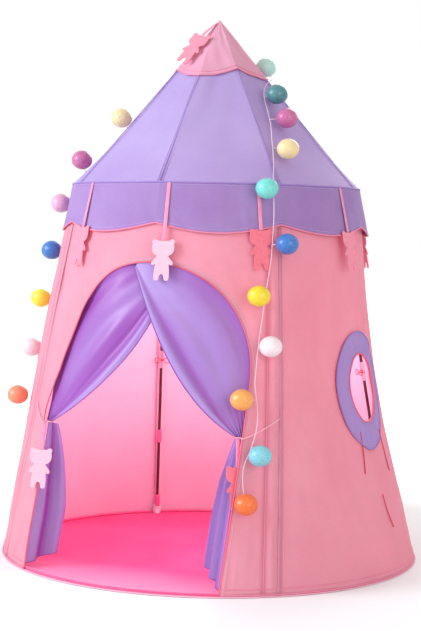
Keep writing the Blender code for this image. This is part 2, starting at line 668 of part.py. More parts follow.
def roof():
    """Roof cover from the eave to its top opening, the cap over it, and the valance below the eave."""
    angles = [TWIST_DEG + 360 * step / AROUND_STEPS for step in range(AROUND_STEPS)]
    inset = CLOTH / math.sin(SLOPE)
    top = HEIGHT - ROOF_DROP
    low = EAVE_HEIGHT - ROOF_EDGE_DROP
    high = top - ROOF_TOP_RADIUS / RUN_PER_RISE
    heights = [[height] * AROUND_STEPS for height in
               (low, low + FACET_HEIGHT / 3, low + FACET_HEIGHT * 2 / 3, EAVE_HEIGHT + FACET_HEIGHT, high)]
    closed_sheet("roof_cover", cone_rows(angles, heights, top, 0), cone_rows(angles, heights, top, inset),
                 "roof", close_across=True)

    edge = [HEIGHT - CAP_DEPTH + CAP_SCALLOP * (1 - abs(math.cos(math.radians(2 * (angle - TWIST_DEG)))))
            for angle in angles]
    heights = [[height + (HEIGHT - height) * share for height in edge] for share in (0, 0.3, 0.7)]
    closed_sheet("roof_cap", cone_rows(angles, heights, HEIGHT, 0), cone_rows(angles, heights, HEIGHT, inset),
                 "cap", close_across=True, poles=((0, 0, HEIGHT), (0, 0, HEIGHT - CLOTH / math.cos(SLOPE))))

    drops = [[(VALANCE_DEPTH - VALANCE_SCALLOP * (1 - scallop(angle))) * share for angle in angles]
             for share in (1, 0.66, 0.33, 0)]
    outer, inner = ([[valance_point(angle, drop, out) for angle, drop in zip(angles, row)] for row in drops]
                    for out in (0, -CLOTH))
    closed_sheet("valance", outer, inner, "valance", close_across=True)


def valance_point(angle_deg, drop, out=0.0):
    """Point on the valance's outer face, this far below its top."""
    radius = EAVE_RADIUS + GAP + FLAT_ROOM + CLOTH + (WALL_LEAN + VALANCE_STAND / VALANCE_DEPTH) * drop + out
    return ring_point(angle_deg, radius, EAVE_HEIGHT - VALANCE_TOP_DROP - drop)


# Places where the curtains are gathered, and the line that each curtain's tail is sewn along
def neck_place(side):
    """Distance along the wall of the gathered neck, positive on the right."""
    return side * (door_half(NECK_HEIGHT, side) - NECK_INSET)


def curtain_middle(side, across, down):
    """Middle point of a curtain: a swag between the door's edge and a leading edge that curves to the neck."""
    swag = RIGHT_SWAG if side > 0 else LEFT_SWAG
    end = (neck_place(side), NECK_HEIGHT + NECK_ROOM)
    top_along = -side * CURTAIN_OVERLAP + (0.5 * CURTAIN_OVERLAP if side < 0 else 0)
    top_height = DOOR_SPRING_HEIGHT + math.sqrt(DOOR_HALF_WIDTH ** 2 - top_along ** 2) + CURTAIN_COVER
    lead = [(1 - down) ** 2 * a + 2 * down * (1 - down) * b + down ** 2 * c
            for a, b, c in zip((top_along, top_height), swag, (end[0] - side * NECK_HALF_WIDTH, end[1]))]
    arch_from = math.atan2(top_height - DOOR_SPRING_HEIGHT, side * top_along)
    radius = DOOR_HALF_WIDTH + CURTAIN_COVER
    arch_length = radius * arch_from
    drop = DOOR_SPRING_HEIGHT - end[1]
    reach = down * (arch_length + drop)
    if reach < arch_length:
        turn = arch_from - reach / radius
        hem = (side * radius * math.cos(turn), DOOR_SPRING_HEIGHT + radius * math.sin(turn))
    else:
        share = (reach - arch_length) / drop
        to_neck = side * (radius - (radius - abs(end[0]) - NECK_HALF_WIDTH) * share ** 2)
        hem = (to_neck, DOOR_SPRING_HEIGHT - drop * share)
    along = hem[0] + (lead[0] - hem[0]) * across
    height = hem[1] + (lead[1] - hem[1]) * across
    gathered = down ** 4
    fold = CURTAIN_FOLD * (1 - math.cos(2 * math.pi * 3 * across)) / 2 * bump(down, 0.53, 0.33)
    fold += CURTAIN_FOLD * 0.7 * (1 - math.cos(2 * math.pi * 2 * across)) / 2 * bump(down, 0.78, 0.22)
    lift = CURTAIN_LIFT * bump(min(along, 0), 0, 2 * CURTAIN_OVERLAP) * (1 if side < 0 else 0)
    depth = CURTAIN_DEPTH + CLOTH + fold + lift
    depth = depth + (NECK_DEPTH - depth) * gathered
    return wall_point(wall_angle(along, height), height, -depth)


def curtain(side, name, rows=15, columns=13):
    """Curtain from the arch to its gathered neck, with folds that run to the neck."""
    middle = [[tuple(curtain_middle(side, across, down)) for across in np.linspace(0, 1, columns)]
              for down in np.linspace(0.03, 1, rows)]
    thick = [[CURTAIN_THICKNESS + (NECK_THICKNESS - CURTAIN_THICKNESS) * down ** 8] * columns
             for down in np.linspace(0.03, 1, rows)]
    padded_sheet(name, middle, thick, "curtain")


def tail_hinge(side):
    """Top and bottom of the line along the door's edge that a tail is sewn to."""
    room, foot = (RIGHT_TAIL_ROOM, RIGHT_TAIL_FOOT) if side > 0 else (LEFT_TAIL_ROOM, LEFT_TAIL_FOOT)
    ends = []
    for height, (past, depth) in ((NECK_HEIGHT - room, (-NECK_INSET, TAIL_DEPTH)),
                                  (MAT_THICKNESS + TAIL_GROUND_GAP, foot)):
        along = side * (door_half(height, side) + past)
        ends.append(wall_point(wall_angle(along, height), height, -depth))
    return ends


def tail_middle(side, across, down):
    """Middle point of a tail: pleats that open from the neck and turn into the tent."""
    top, bottom = tail_hinge(side)
    width = RIGHT_TAIL_WIDTH if side > 0 else LEFT_TAIL_WIDTH
    rise = RIGHT_TAIL_RISE if side > 0 else LEFT_TAIL_RISE
    start = top.lerp(bottom, down) + Vector((0, 0, rise * across * down))
    spread = min(1.0, 0.25 + 1.1 * math.sin(math.pi / 2 * min(1, 1.15 * down)) ** 0.8)
    angle = math.degrees(math.atan2(start.x, -start.y))
    inward = -outward(angle)
    along = -side * sideways(angle)
    turn = math.radians(RIGHT_TAIL_TURN_DEG if side > 0 else LEFT_TAIL_TURN_DEG)
    run = along * math.cos(turn) + inward * math.sin(turn)
    lean = (top - bottom).normalized()
    run = (run - lean * run.dot(lean) * (1 - down) ** 2).normalized()
    wave = along * math.sin(turn) - inward * math.cos(turn)
    narrow = NECK_HALF_WIDTH * 2
    width = narrow + (width - narrow) * (spread - 0.25) / 0.75
    pleat = TAIL_FOLD * math.sin(2 * math.pi * 2.5 * across) * min(1, 3 * down) * min(1, 4 * across)
    return start + run * width * across + wave * pleat


def tail(side, name, rows=9, columns=14):
    """Lower part of a curtain, below its tie-back, turning about the line that it is sewn along."""
    middle = [[tuple(tail_middle(side, across, down)) for across in np.linspace(0, 1, columns)]
              for down in np.linspace(0, 1, rows)]
    thick = [[TAIL_THICKNESS] * columns] * rows
    padded_sheet(name, middle, thick, "curtain", origin=tail_hinge(side)[0])


def tieback(side, name):
    """Cord from the pole seam across the wall to the door's edge and once around the gathered neck."""
    neck = neck_place(side)
    edge = side * door_half(NECK_HEIGHT, side)
    out = TIE_RADIUS + GAP + FLAT_ROOM / 2
    pole_along = side * math.radians(FIRST_POLE_DEG) * (wall_radius(0, NECK_HEIGHT + TIE_RISE))
    route = []
    for share in (0.03, 0.25, 0.5, 0.75, 0.95):
        height = NECK_HEIGHT + TIE_RISE * (1 - share) ** 1.3
        route.append(wall_point(wall_angle(pole_along + (edge - pole_along) * share, height), height, out))
    ring = NECK_HALF_WIDTH - TIE_RADIUS
    for past, depth in TIE_EDGE_SHARES:
        along = edge - side * past * TIE_RADIUS
        route.append(wall_point(wall_angle(along, NECK_HEIGHT), NECK_HEIGHT, depth * TIE_RADIUS))
    for turn in np.linspace(0.35 * math.pi, 1.95 * math.pi, 9):
        along = neck + side * ring * math.cos(turn) * 0.9
        depth = NECK_DEPTH - ring * math.sin(turn) * 0.6
        route.append(wall_point(wall_angle(along, NECK_HEIGHT), NECK_HEIGHT, -depth))
    points, length = smooth_path(route, 30)
    print(f"{name}: {length:.3f} m")
    tube(name, points, TIE_RADIUS, "cord", 1)


def bear_outline(ribbon):
    """Sideways and downwards distances from the hinge: rows of the ribbon, then the bear's outline below it."""
    rows = [((RIBBON_HALF_WIDTH, ribbon * step / 3), (-RIBBON_HALF_WIDTH, ribbon * step / 3)) for step in range(4)]
    half = [(x * BEAR_HEIGHT, ribbon + (1 - y) * BEAR_HEIGHT) for x, y in BEAR_HALF_SHARES]
    crotch = (0.0, ribbon + (1 - BEAR_CROTCH_SHARE) * BEAR_HEIGHT)
    return rows, half + [crotch] + [(-x, y) for x, y in reversed(half)]


def bear(name, ribbon, hinge, side, path):
    """Flat felt bear on a ribbon. The path gives, for a length below the hinge, its place and its outward normal."""
    rows, outline = bear_outline(ribbon)
    shape = bmesh.new()

    def vertex(across, length, thickness):
        place_there, normal = path(length)
        return shape.verts.new(place_there + side * across + normal * thickness - hinge)

    sides = []
    for thickness in (FELT, 0):
        strap = [[vertex(across, length, thickness) for across, length in row] for row in rows]
        body = [vertex(across, length, thickness) for across, length in outline]
        for upper, lower in zip(strap, strap[1:]):
            shape.faces.new((upper[0], lower[0], lower[1], upper[1]))
        shape.faces.new([strap[-1][0]] + body + [strap[-1][1]])
        right = [row[0] for row in strap] + body
        sides.append(right + [row[1] for row in reversed(strap)])
    front, back = sides
    for index in range(len(front)):
        after = (index + 1) % len(front)
        shape.faces.new((front[index], back[index], back[after], front[after]))
    bmesh.ops.triangulate(shape, faces=[face for face in shape.faces if len(face.verts) > 4])
    bmesh.ops.recalc_face_normals(shape, faces=shape.faces)
    mesh = bpy.data.meshes.new(name)
    shape.to_mesh(mesh)
    shape.free()
    item = place(name, mesh, "felt")
    item.location = hinge
    return item


def eave_bears():
    """Eight bears around the eave, their ribbons hanging over the valance."""
    for number, angle in enumerate(BEAR_ANGLES_DEG, start=1):
        ribbon = LOW_BEAR_RIBBON if number == 1 else KNEE_DROP
        top = valance_point(angle, 0.0, BEAR_STAND_OFF)
        knee = valance_point(angle, ribbon, KNEE_OUT)
        reach = (knee - top).length
        second = (Vector((0, 0, -BEAR_HEIGHT)) + outward(angle) * BEAR_LEAN).normalized()

        def path(length, top=top, knee=knee, reach=reach, second=second, angle=angle):
            if length <= reach:
                return top.lerp(knee, length / reach), outward(angle)
            return knee + second * (length - reach), outward(angle)

        bear(f"eave_bear_{number}", reach, top, sideways(angle), path)


def apex_bear():
    """Bear that lies on the cap's left ridge, on a ribbon from the tent's point."""
    angle = APEX_BEAR_DEG
    normal = outward(angle) * math.sin(SLOPE) + Vector((0, 0, math.cos(SLOPE)))
    along = outward(angle) * math.cos(SLOPE) - Vector((0, 0, math.sin(SLOPE)))
    start = Vector((0, 0, HEIGHT)) + normal * BEAR_STAND_OFF + along * 3 * RIBBON_HALF_WIDTH
    bear("apex_bear", APEX_RIBBON, start, sideways(angle), lambda length: (start + along * length, normal))


def tie_bears():
    """Bears that hang from the tie-backs: the left one across the door's edge, the right one inside it."""
    top_height = NECK_HEIGHT - TIE_RADIUS - GAP
    low_height = top_height - (TIE_RIBBON + BEAR_HEIGHT)
    start, end = (wall_point(wall_angle(-door_half(height, -1) + TIE_BEAR_PAST, height), height)
                  for height in (top_height, low_height))
    down = (end - start).normalized()
    normal = outward(TIE_BEAR_DEG)
    normal = (normal - down * normal.dot(down)).normalized()
    bear("tieback_bear_left", TIE_RIBBON, start, normal.cross(down),
         lambda length: (start + down * length - normal * FELT, normal))

    along = door_half(NECK_HEIGHT, 1) - RIGHT_BEAR_INSET
    angle = wall_angle(along, top_height)
    top = wall_point(angle, top_height, -(NECK_DEPTH - NECK_HALF_WIDTH / 2))
    turned_deg = angle + TWIST_DEG * top_height / EAVE_HEIGHT
    plumb = (outward(turned_deg) * WALL_LEAN - Vector((0, 0, 1))).normalized()
    bear("tieback_bear_right", TIE_RIBBON, top, sideways(turned_deg),
         lambda length: (top + plumb * length, outward(turned_deg)))


def light_string():
    """String of ball lights over the roof, its lead, and the battery box on the ground behind the tent."""
    route = [ring_point(*point) for point in STRING_ROUTE]
    points, length = smooth_path(route, STRING_POINTS)
    cord = tube_mesh("light_cord", points, STRING_RADIUS)
    added = []
    for number, aside, rise in STRING_BALLS:
        here = int(number)
        angle, _, height = (a + (b - a) * (number - here)
                            for a, b in zip(STRING_ROUTE[here], STRING_ROUTE[here + 1]))
        out, up = outward(angle), (Vector((0, 0, 1)) - outward(angle) * WALL_LEAN).normalized()
        if height > EAVE_HEIGHT + BALL_RADIUS / 2:
            out = outward(angle) * math.sin(SLOPE) + Vector((0, 0, math.cos(SLOPE)))
            up = Vector((0, 0, math.sin(SLOPE))) - outward(angle) * math.cos(SLOPE)
        stem = route[here].lerp(route[here + 1], number - here)
        centre = stem + out * BALL_OUT + sideways(angle) * aside + up * rise
        added.append(ball_mesh("ball", BALL_RADIUS, centre, 8, 5))
        added.append(rod_mesh("stem", STEM_RADIUS, stem, centre, 4))
    end = route[0] + outward(STRING_ROUTE[0][0]) * BALL_OUT - Vector((0, 0, END_BALL_DROP))
    added.append(ball_mesh("ball", BALL_RADIUS, end, 8, 5))
    added.append(rod_mesh("stem", STEM_RADIUS, route[0], end, 4))
    place("light_string", carved("light_string", cord, added=added), "lights")
    shape = bmesh.new()
    bmesh.ops.create_cube(shape, size=1)
    bmesh.ops.scale(shape, vec=BATTERY_SIZE, verts=shape.verts)
    bmesh.ops.bevel(shape, geom=shape.edges, offset=BATTERY_SIZE[2] / 10, segments=1, affect="EDGES")
    mesh = bpy.data.meshes.new("battery_box")
    shape.to_mesh(mesh)
    shape.free()
    box = place("battery_box", mesh, "plastic")
    box.location = ring_point(BATTERY_ANGLE_DEG, FLOOR_RADIUS + MAT_LIP + BATTERY_GAP + BATTERY_SIZE[1] / 2,
                              BATTERY_SIZE[2] / 2)
    box.rotation_euler[2] = math.radians(BATTERY_ANGLE_DEG)
    print(f"light string: {length:.3f} m, {len(STRING_BALLS) + 1} balls")


def window_cords():
    """Three thin cords that hang on the window panel, two of them from the window's ring."""
    for number, (heights, angles) in enumerate(zip(WINDOW_CORD_SHARES, WINDOW_CORD_DEG), start=1):
        top, bottom = (share * WINDOW_HEIGHT for share in heights)
        route = []
        for share in np.linspace(0, 1, 8):
            angle = angles[0] + (angles[1] - angles[0]) * share ** 2
            out = WINDOW_CORD_RADIUS + 2 * GAP
            if number < 3:
                out += (CLOTH + GAP + FLAT_ROOM) * min(1, 2 * (1 - share))
            route.append(wall_point(angle, top + (bottom - top) * share, out))
        points, length = smooth_path(route, 8)
        tube(f"window_cord_{number}", points, WINDOW_CORD_RADIUS, "cord", 1)
        print(f"window cord {number}: {length:.3f} m")


def build():
    """Builds every piece of the tent."""
    frame()
    hoop("eave_hoop", EAVE_HOOP_SIZE, EAVE_HOOP_HEIGHT, TWIST_DEG)
    hoop("base_hoop", BASE_HOOP_SIZE, BASE_HOOP_HEIGHT, 0)
    floor_mat()
    front_panel()
    side_panel()
    plain_panel("wall_panel_back", FIRST_POLE_DEG + 90)
    plain_panel("wall_panel_left", FIRST_POLE_DEG + 180)
    roof()
    for side, hand in ((-1, "left"), (1, "right")):
        curtain(side, "curtain_" + hand)
        tail(side, "curtain_tail_" + hand)
        tieback(side, "tieback_" + hand)
        top, bottom = tail_hinge(side)
        print("tail hinge", hand, [round(value, 5) for value in top], [round(value, 5) for value in bottom])
    eave_bears()
    apex_bear()
    tie_bears()
    light_string()
    window_cords()


build()
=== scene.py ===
import logging
import math
from dataclasses import dataclass, field
from enum import Enum
from typing import Callable, Optional, Sequence

import bmesh
import bpy
import numpy as np
from mathutils import Matrix, Vector


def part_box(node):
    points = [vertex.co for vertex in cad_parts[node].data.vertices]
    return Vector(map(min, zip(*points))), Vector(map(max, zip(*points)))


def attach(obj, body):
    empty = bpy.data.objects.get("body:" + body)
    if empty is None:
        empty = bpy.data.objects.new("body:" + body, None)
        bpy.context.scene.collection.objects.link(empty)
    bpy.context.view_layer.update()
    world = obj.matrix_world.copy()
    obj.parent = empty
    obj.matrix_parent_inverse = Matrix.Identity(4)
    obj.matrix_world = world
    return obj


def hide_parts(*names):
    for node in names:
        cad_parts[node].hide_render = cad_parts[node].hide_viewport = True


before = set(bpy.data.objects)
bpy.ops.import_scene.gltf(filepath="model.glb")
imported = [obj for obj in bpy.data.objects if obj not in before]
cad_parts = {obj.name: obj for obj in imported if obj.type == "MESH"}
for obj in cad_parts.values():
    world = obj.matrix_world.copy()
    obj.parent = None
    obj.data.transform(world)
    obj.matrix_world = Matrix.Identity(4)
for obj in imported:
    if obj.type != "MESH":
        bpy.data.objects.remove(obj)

LOG = logging.getLogger("play_tent")
Triple = tuple[float, float, float]
Colour = Triple
Array = np.ndarray
Pair = tuple[float, float]
Socket = bpy.types.NodeSocket
Item = bpy.types.Object
UP = np.array((0.0, 0.0, 1.0))
WHITE = (255, 255, 255)
STITCH_RADIUS = 0.0006
STITCH_LIFT = 0.0001
HEM_LIFT = 0.0004
SEAM_LIFT = 0.0002


class Side(Enum):
    """Which side of the door a piece hangs on, seen from outside."""

    LEFT = -1
    RIGHT = 1

    @property
    def word(self) -> str:
        """The side's name as the tent's pieces use it."""
        return self.name.lower()


class Weave(Enum):
    """How a cloth is woven: threads per metre, depth of the weave and how strong its sheen is."""

    TAFFETA = (900.0, 0.10, 0.35)
    SATIN = (1600.0, 0.05, 0.75)


# Colour and node helpers


def linear(colour: Colour) -> tuple[float, float, float, float]:
    """Turns a colour written from 0 to 255, as a screen shows it, into a shader's linear colour.

    Args:
        colour: Red, green and blue.

    Returns:
        Linear red, green, blue and an alpha of one.
    """
    share = np.asarray(colour, dtype=float) / 255.0
    value = np.where(share <= 0.04045, share / 12.92, ((share + 0.055) / 1.055) ** 2.4)
    return (float(value[0]), float(value[1]), float(value[2]), 1.0)


class Web:
    """The node tree of a material or a world, with short ways to add nodes and join them."""

    def __init__(self, owner: bpy.types.ID, end: str = "ShaderNodeOutputMaterial") -> None:
        """Empties the owner's nodes and gives it an output of this kind."""
        owner.use_nodes = True
        self.tree = owner.node_tree
        self.tree.nodes.clear()
        self.end = self.node(end)

    def node(self, kind: str, **values: object) -> bpy.types.Node:
        """Adds a node.

        Args:
            kind: Its type name.
            values: Properties of the node, or defaults of sockets, with _ for a space in a name.

        Returns:
            The node.
        """
        made = self.tree.nodes.new(kind)
        for key, value in values.items():
            if hasattr(made, key):
                setattr(made, key, value)
            else:
                made.inputs[key.replace("_", " ")].default_value = value
        return made

    def join(self, source: Socket, target: Socket) -> None:
        """Links one socket to another."""
        self.tree.links.new(source, target)

    def noise(self, where: Socket, scale: float, detail: float = 3.0,
              stretch: Triple = (1.0, 1.0, 1.0)) -> Socket:
        """Noise over a coordinate that is first stretched.

        Args:
            where: Coordinate.
            scale: Noise cells per metre.
            detail: Octaves.
            stretch: Factor along each axis.

        Returns:
            The noise's value, about 0.5 in the middle.
        """
        place = self.node("ShaderNodeMapping")
        place.inputs["Scale"].default_value = stretch
        self.join(where, place.inputs["Vector"])
        made = self.node("ShaderNodeTexNoise", Scale=scale, Detail=detail)
        self.join(place.outputs["Vector"], made.inputs["Vector"])
        return made.outputs["Fac"]

    def bands(self, where: Socket, period: float, axis: str) -> Socket:
        """Fine threads: a wave along one axis with this period in metres."""
        made = self.node("ShaderNodeTexWave", Scale=math.pi / 10.0 / period, bands_direction=axis,
                         Distortion=0.6)
        made.inputs["Detail Scale"].default_value = 2.0
        self.join(where, made.inputs["Vector"])
        return made.outputs["Fac"]

    def maths(self, operation: str, *values: object) -> Socket:
        """Adds, multiplies or otherwise joins values, each a socket or a number."""
        made = self.node("ShaderNodeMath", operation=operation)
        for index, value in enumerate(values):
            if isinstance(value, (int, float)):
                made.inputs[index].default_value = value
            else:
                self.join(value, made.inputs[index])
        return made.outputs[0]

    def ramp(self, value: Socket,
             stops: Sequence[tuple[float, Colour]]) -> Socket:
        """Colour ramp over a value; stops are places and colours from 0 to 255."""
        made = self.node("ShaderNodeValToRGB")
        ramp = made.color_ramp
        while len(ramp.elements) < len(stops):
            ramp.elements.new(0.5)
        for element, (place, colour) in zip(ramp.elements, stops):
            element.position = place
            element.color = linear(colour)
        self.join(value, made.inputs["Fac"])
        return made.outputs["Color"]

    def bump(self, height: Socket, strength: float, distance: float,
             under: Optional[Socket] = None) -> Socket:
        """Bump from a height between 0 and 1, on top of another normal if one is given."""
        made = self.node("ShaderNodeBump", Strength=strength, Distance=distance)
        self.join(height, made.inputs["Height"])
        if under is not None:
            self.join(under, made.inputs["Normal"])
        return made.outputs["Normal"]

    def cut(self) -> Socket:
        """The coordinate of a cloth as it was cut, in metres."""
        return self.node("ShaderNodeUVMap", uv_map="cloth").outputs["UV"]

    def place(self) -> Socket:
        """The coordinate of a place on the piece, in metres."""
        return self.node("ShaderNodeTexCoord").outputs["Object"]

    def surface(self, colour: Socket, normal: Socket, **values: object) -> bpy.types.Node:
        """Adds a shader with this colour, normal and other values, and makes it the one that is seen."""
        shader = self.node("ShaderNodeBsdfPrincipled", **values)
        self.join(colour, shader.inputs["Base Color"])
        self.join(normal, shader.inputs["Normal"])
        self.cover(shader)
        return shader

    def cover(self, shader: bpy.types.Node) -> None:
        """Makes this shader the one that is seen."""
        self.join(shader.outputs[0], self.end.inputs["Surface"])


# Finishes


@dataclass(frozen=True)
class Finish:
    """A named finish, whose material is made once."""

    name: str

    def material(self) -> bpy.types.Material:
        """The finish's material, made when it is first asked for."""
        made = bpy.data.materials.get(self.name)
        if not made:
            made = bpy.data.materials.new(self.name)
            self.paint(Web(made))
        return made

    def paint(self, web: Web) -> None:
        """Fills an empty material; each kind of finish has its own way."""
        raise NotImplementedError


@dataclass(frozen=True)
class Cloth(Finish):
    """A dyed woven cloth that lets some light through.

    Attributes:
        colour: The lighter of the cloth's two tones, 0 to 255.
        shade: The deeper tone; slow noise, streaks and slubs mix the two over the cloth at random.
        weave: Its weave.
        through: How much of the light goes through it, from 0 to 1.
        roughness: Roughness of its threads.
        glow: The colour of the light that comes through.
        mottle: Contrast of the slow change of colour over the cloth.
        painted_light_colour: Painted light and shade: the colour shown where the mesh's fold attribute is
            zero.
    """

    colour: Colour
    shade: Colour
    weave: Weave = Weave.TAFFETA
    through: float = 0.3
    roughness: float = 0.62
    glow: Optional[Colour] = None
    mottle: float = 0.35
    painted_light_colour: Optional[Colour] = None

    def paint(self, web: Web) -> None:
        """Threads, streaks and slow changes of colour, painted light and shade, and the light that goes
        through.
        """
        threads, depth, sheen = self.weave.value
        where = web.cut()
        slow = web.noise(where, 5.5, 4.0)
        streak = web.noise(where, 60.0, 2.0, (1.0, 9.0, 1.0))
        slub = web.noise(where, 260.0, 1.0, (7.0, 0.6, 1.0))
        fine_part = web.maths("ADD", web.maths("MULTIPLY", streak, 0.22), web.maths("MULTIPLY", slub, 0.16))
        blend = web.maths("ADD", web.maths("MULTIPLY", slow, 0.62), fine_part)
        low, high = 0.5 - self.mottle / 2, 0.5 + self.mottle / 2
        colour = web.ramp(blend, ((low, self.shade), (high, self.colour)))
        if self.painted_light_colour:
            # Painted light and shade: the fold attribute mixes in the painted light colour, fully where it is
            # zero.
            fold = web.node("ShaderNodeAttribute", attribute_name="fold")
            deep = web.node("ShaderNodeMix", data_type="RGBA")
            web.join(fold.outputs["Fac"], deep.inputs["Factor"])
            deep.inputs[6].default_value = linear(self.painted_light_colour)
            web.join(colour, deep.inputs[7])
            colour = deep.outputs[2]
        weft = web.bands(where, 1.0 / threads, "X")
        warp = web.bands(where, 1.0 / threads, "Y")
        fine = web.bump(web.maths("MULTIPLY", weft, warp), depth, 0.0004)
        normal = web.bump(web.maths("ADD", streak, slub), depth * 1.6, 0.0006, fine)
        shader = web.surface(colour, normal, Roughness=self.roughness, Sheen_Weight=sheen * 0.5,
                             Sheen_Roughness=0.35, Specular_IOR_Level=0.28)
        shader.inputs["Sheen Tint"].default_value = linear(self.colour)
        if self.weave is Weave.SATIN:
            shader.inputs["Anisotropic"].default_value = 0.45
            shader.inputs["Specular IOR Level"].default_value = 0.55
        web.join(web.maths("MULTIPLY_ADD", slub, 0.14, self.roughness - 0.07), shader.inputs["Roughness"])
        if self.through > 0:
            light = web.node("ShaderNodeBsdfTranslucent")
            light.inputs["Color"].default_value = linear(self.glow or self.colour)
            web.join(normal, light.inputs["Normal"])
            mix = web.node("ShaderNodeMixShader", Fac=self.through)
            web.join(shader.outputs[0], mix.inputs[1])
            web.join(light.outputs[0], mix.inputs[2])
            web.cover(mix)


@dataclass(frozen=True)
class Stitch(Finish):
    """A row of stitches: thread that shows for most of each stitch's length and dips in between, with painted
    shade in the dips.
    """

    thread: Colour
    # Painted shade in the dips between stitches, darker than the cloth that the row lies on.
    cloth: Colour
    length: float = 0.0042

    def paint(self, web: Web) -> None:
        """Thread and painted shade in turn along the row, the thread raised."""
        dash = web.bands(web.cut(), self.length, "Y")
        # Painted shade: the dips between stitches take the darker second colour.
        colour = web.ramp(dash, ((0.22, self.cloth), (0.34, self.thread)))
        web.surface(colour, web.bump(dash, 0.5, 0.0008), Roughness=0.6, Specular_IOR_Level=0.3)


@dataclass(frozen=True)
class Felt(Finish):
    """Pressed felt, or the satin-edged ribbon that a felt bear hangs on."""

    colour: Colour
    shade: Colour

    def paint(self, web: Web) -> None:
        """Matted fibres in two tones, with a soft nap."""
        where = web.place()
        fibres = web.noise(where, 900.0, 4.0, (1.0, 1.0, 0.45))
        clumps = web.noise(where, 120.0, 3.0)
        blend = web.maths("ADD", web.maths("MULTIPLY", fibres, 0.5), web.maths("MULTIPLY", clumps, 0.5))
        colour = web.ramp(blend, ((0.36, self.shade), (0.62, self.colour)))
        web.surface(colour, web.bump(blend, 0.45, 0.0012), Roughness=0.92, Sheen_Weight=0.35,
                    Sheen_Roughness=0.5, Specular_IOR_Level=0.15)


@dataclass(frozen=True)
class CottonBall(Finish):
    """A hollow ball of dyed cotton thread stiffened with glue."""

    colour: Colour
    shade: Colour

    def paint(self, web: Web) -> None:
        """Crossing threads, pale specks of bare glue and a soft gloss."""
        where = web.place()
        wound = web.noise(where, 220.0, 3.0, (1.0, 1.0, 5.0))
        crossed = web.noise(where, 220.0, 3.0, (5.0, 1.0, 1.0))
        thread = web.maths("MULTIPLY", wound, crossed)
        specks = web.noise(where, 700.0, 1.0)
        colour = web.ramp(web.maths("MULTIPLY", thread, 2.0), ((0.30, self.shade), (0.66, self.colour)))
        fleck = web.node("ShaderNodeMix", data_type="RGBA", blend_type="SCREEN")
        spots = web.ramp(specks, ((0.66, (0, 0, 0)), (0.76, (150, 150, 150))))
        fleck.inputs["Factor"].default_value = 0.8
        web.join(colour, fleck.inputs[6])
        web.join(spots, fleck.inputs[7])
        web.surface(fleck.outputs[2], web.bump(thread, 0.35, 0.0012), Roughness=0.38, Specular_IOR_Level=0.5,
                    Coat_Weight=0.35, Coat_Roughness=0.22)


@dataclass(frozen=True)
class Hard(Finish):
    """A rod, metal or plastic finish.

    Attributes:
        colour: Its main colour.
        worn: Its colour where it is worn or dusty.
        roughness: Its roughness.
        metal: One for bare metal, else zero.
        grain: Factor along X, Y and Z of the marks on it.
        scale: Marks per metre.
    """

    colour: Colour
    worn: Colour
    roughness: float
    metal: float = 0.0
    grain: Triple = (1.0, 1.0, 1.0)
    scale: float = 160.0

    def paint(self, web: Web) -> None:
        """Two tones with small marks that change the gloss too."""
        marks = web.noise(web.place(), self.scale, 4.0, self.grain)
        colour = web.ramp(marks, ((0.42, self.colour), (0.72, self.worn)))
        shader = web.surface(colour, web.bump(marks, 0.12, 0.0005), Metallic=self.metal)
        web.join(web.maths("MULTIPLY_ADD", marks, 0.25, self.roughness - 0.12), shader.inputs["Roughness"])


# Painted shade: the outside wall's darker colour (204, 122, 146) shows in the groove beside each pole and
# beside its seam.
WALL_OUTSIDE = Cloth("wall taffeta", (234, 176, 192), (225, 158, 177), through=0.26, glow=(250, 130, 165),
                     painted_light_colour=(204, 122, 146))
# Painted shade: the seam piping's cloth is darker than the wall, for the dark line along each seam.
SEAM_CLOTH = Cloth("seam taffeta", (214, 146, 164), (198, 124, 146), through=0.0)
WALL_INSIDE = Cloth("wall taffeta inside", (254, 216, 233), (250, 202, 222), through=0.26,
                    glow=(255, 176, 208))
ROOF_CLOTH = Cloth("roof taffeta", (202, 186, 232), (186, 164, 220), through=0.22,
                   glow=(215, 175, 225), mottle=0.3)
VALANCE_CLOTH = Cloth("valance taffeta", (178, 146, 202), (160, 122, 188), through=0.12,
                      glow=(180, 135, 205), mottle=0.3)
TRIM_CLOTH = Cloth("window ring taffeta", (178, 146, 208), (162, 126, 194), through=0.0)
CAP_CLOTH = Cloth("cap taffeta", (243, 182, 206), (236, 164, 192), through=0.15, glow=(255, 160, 190))
# Painted sheen: the floor sheet's paler colour (232, 164, 198) shows at its front edge and fades out towards
# the back.
MAT_CLOTH = Cloth("floor sheet", (248, 96, 150), (244, 68, 130), through=0.0, roughness=0.5,
                  painted_light_colour=(232, 164, 198))
MAT_EDGE = Cloth("floor sheet binding", (250, 196, 214), (244, 170, 196), through=0.0)
# Painted shade: the curtains' deep magenta (158, 80, 180) shows in their folds and hollows.
CURTAIN_SATIN = Cloth("curtain satin", (190, 160, 224), (174, 138, 214), Weave.SATIN, through=0.16,
                      roughness=0.40, glow=(188, 108, 206), painted_light_colour=(158, 80, 180))
PINK_PIPING = Cloth("pink piping", (240, 150, 178), (228, 128, 160), through=0.0, roughness=0.55)
CORAL_PIPING = Cloth("coral piping", (240, 116, 140), (226, 98, 124), through=0.0, roughness=0.55)
LILAC_PIPING = Cloth("lilac piping", (170, 140, 206), (150, 118, 190), through=0.0, roughness=0.55)
PALE_CORD = Cloth("tie-back cord", (250, 196, 210), (238, 170, 190), through=0.0, roughness=0.7)
CORAL_CORD = Cloth("window cord", (226, 84, 110), (206, 66, 92), through=0.0, roughness=0.7)
CLEAR_WIRE = Cloth("light wire", (246, 222, 232), (230, 200, 214), through=0.0, roughness=0.3)
SLEEVE_CLOTH = Cloth("pole sleeve", (255, 120, 170), (245, 100, 155), through=0.0)
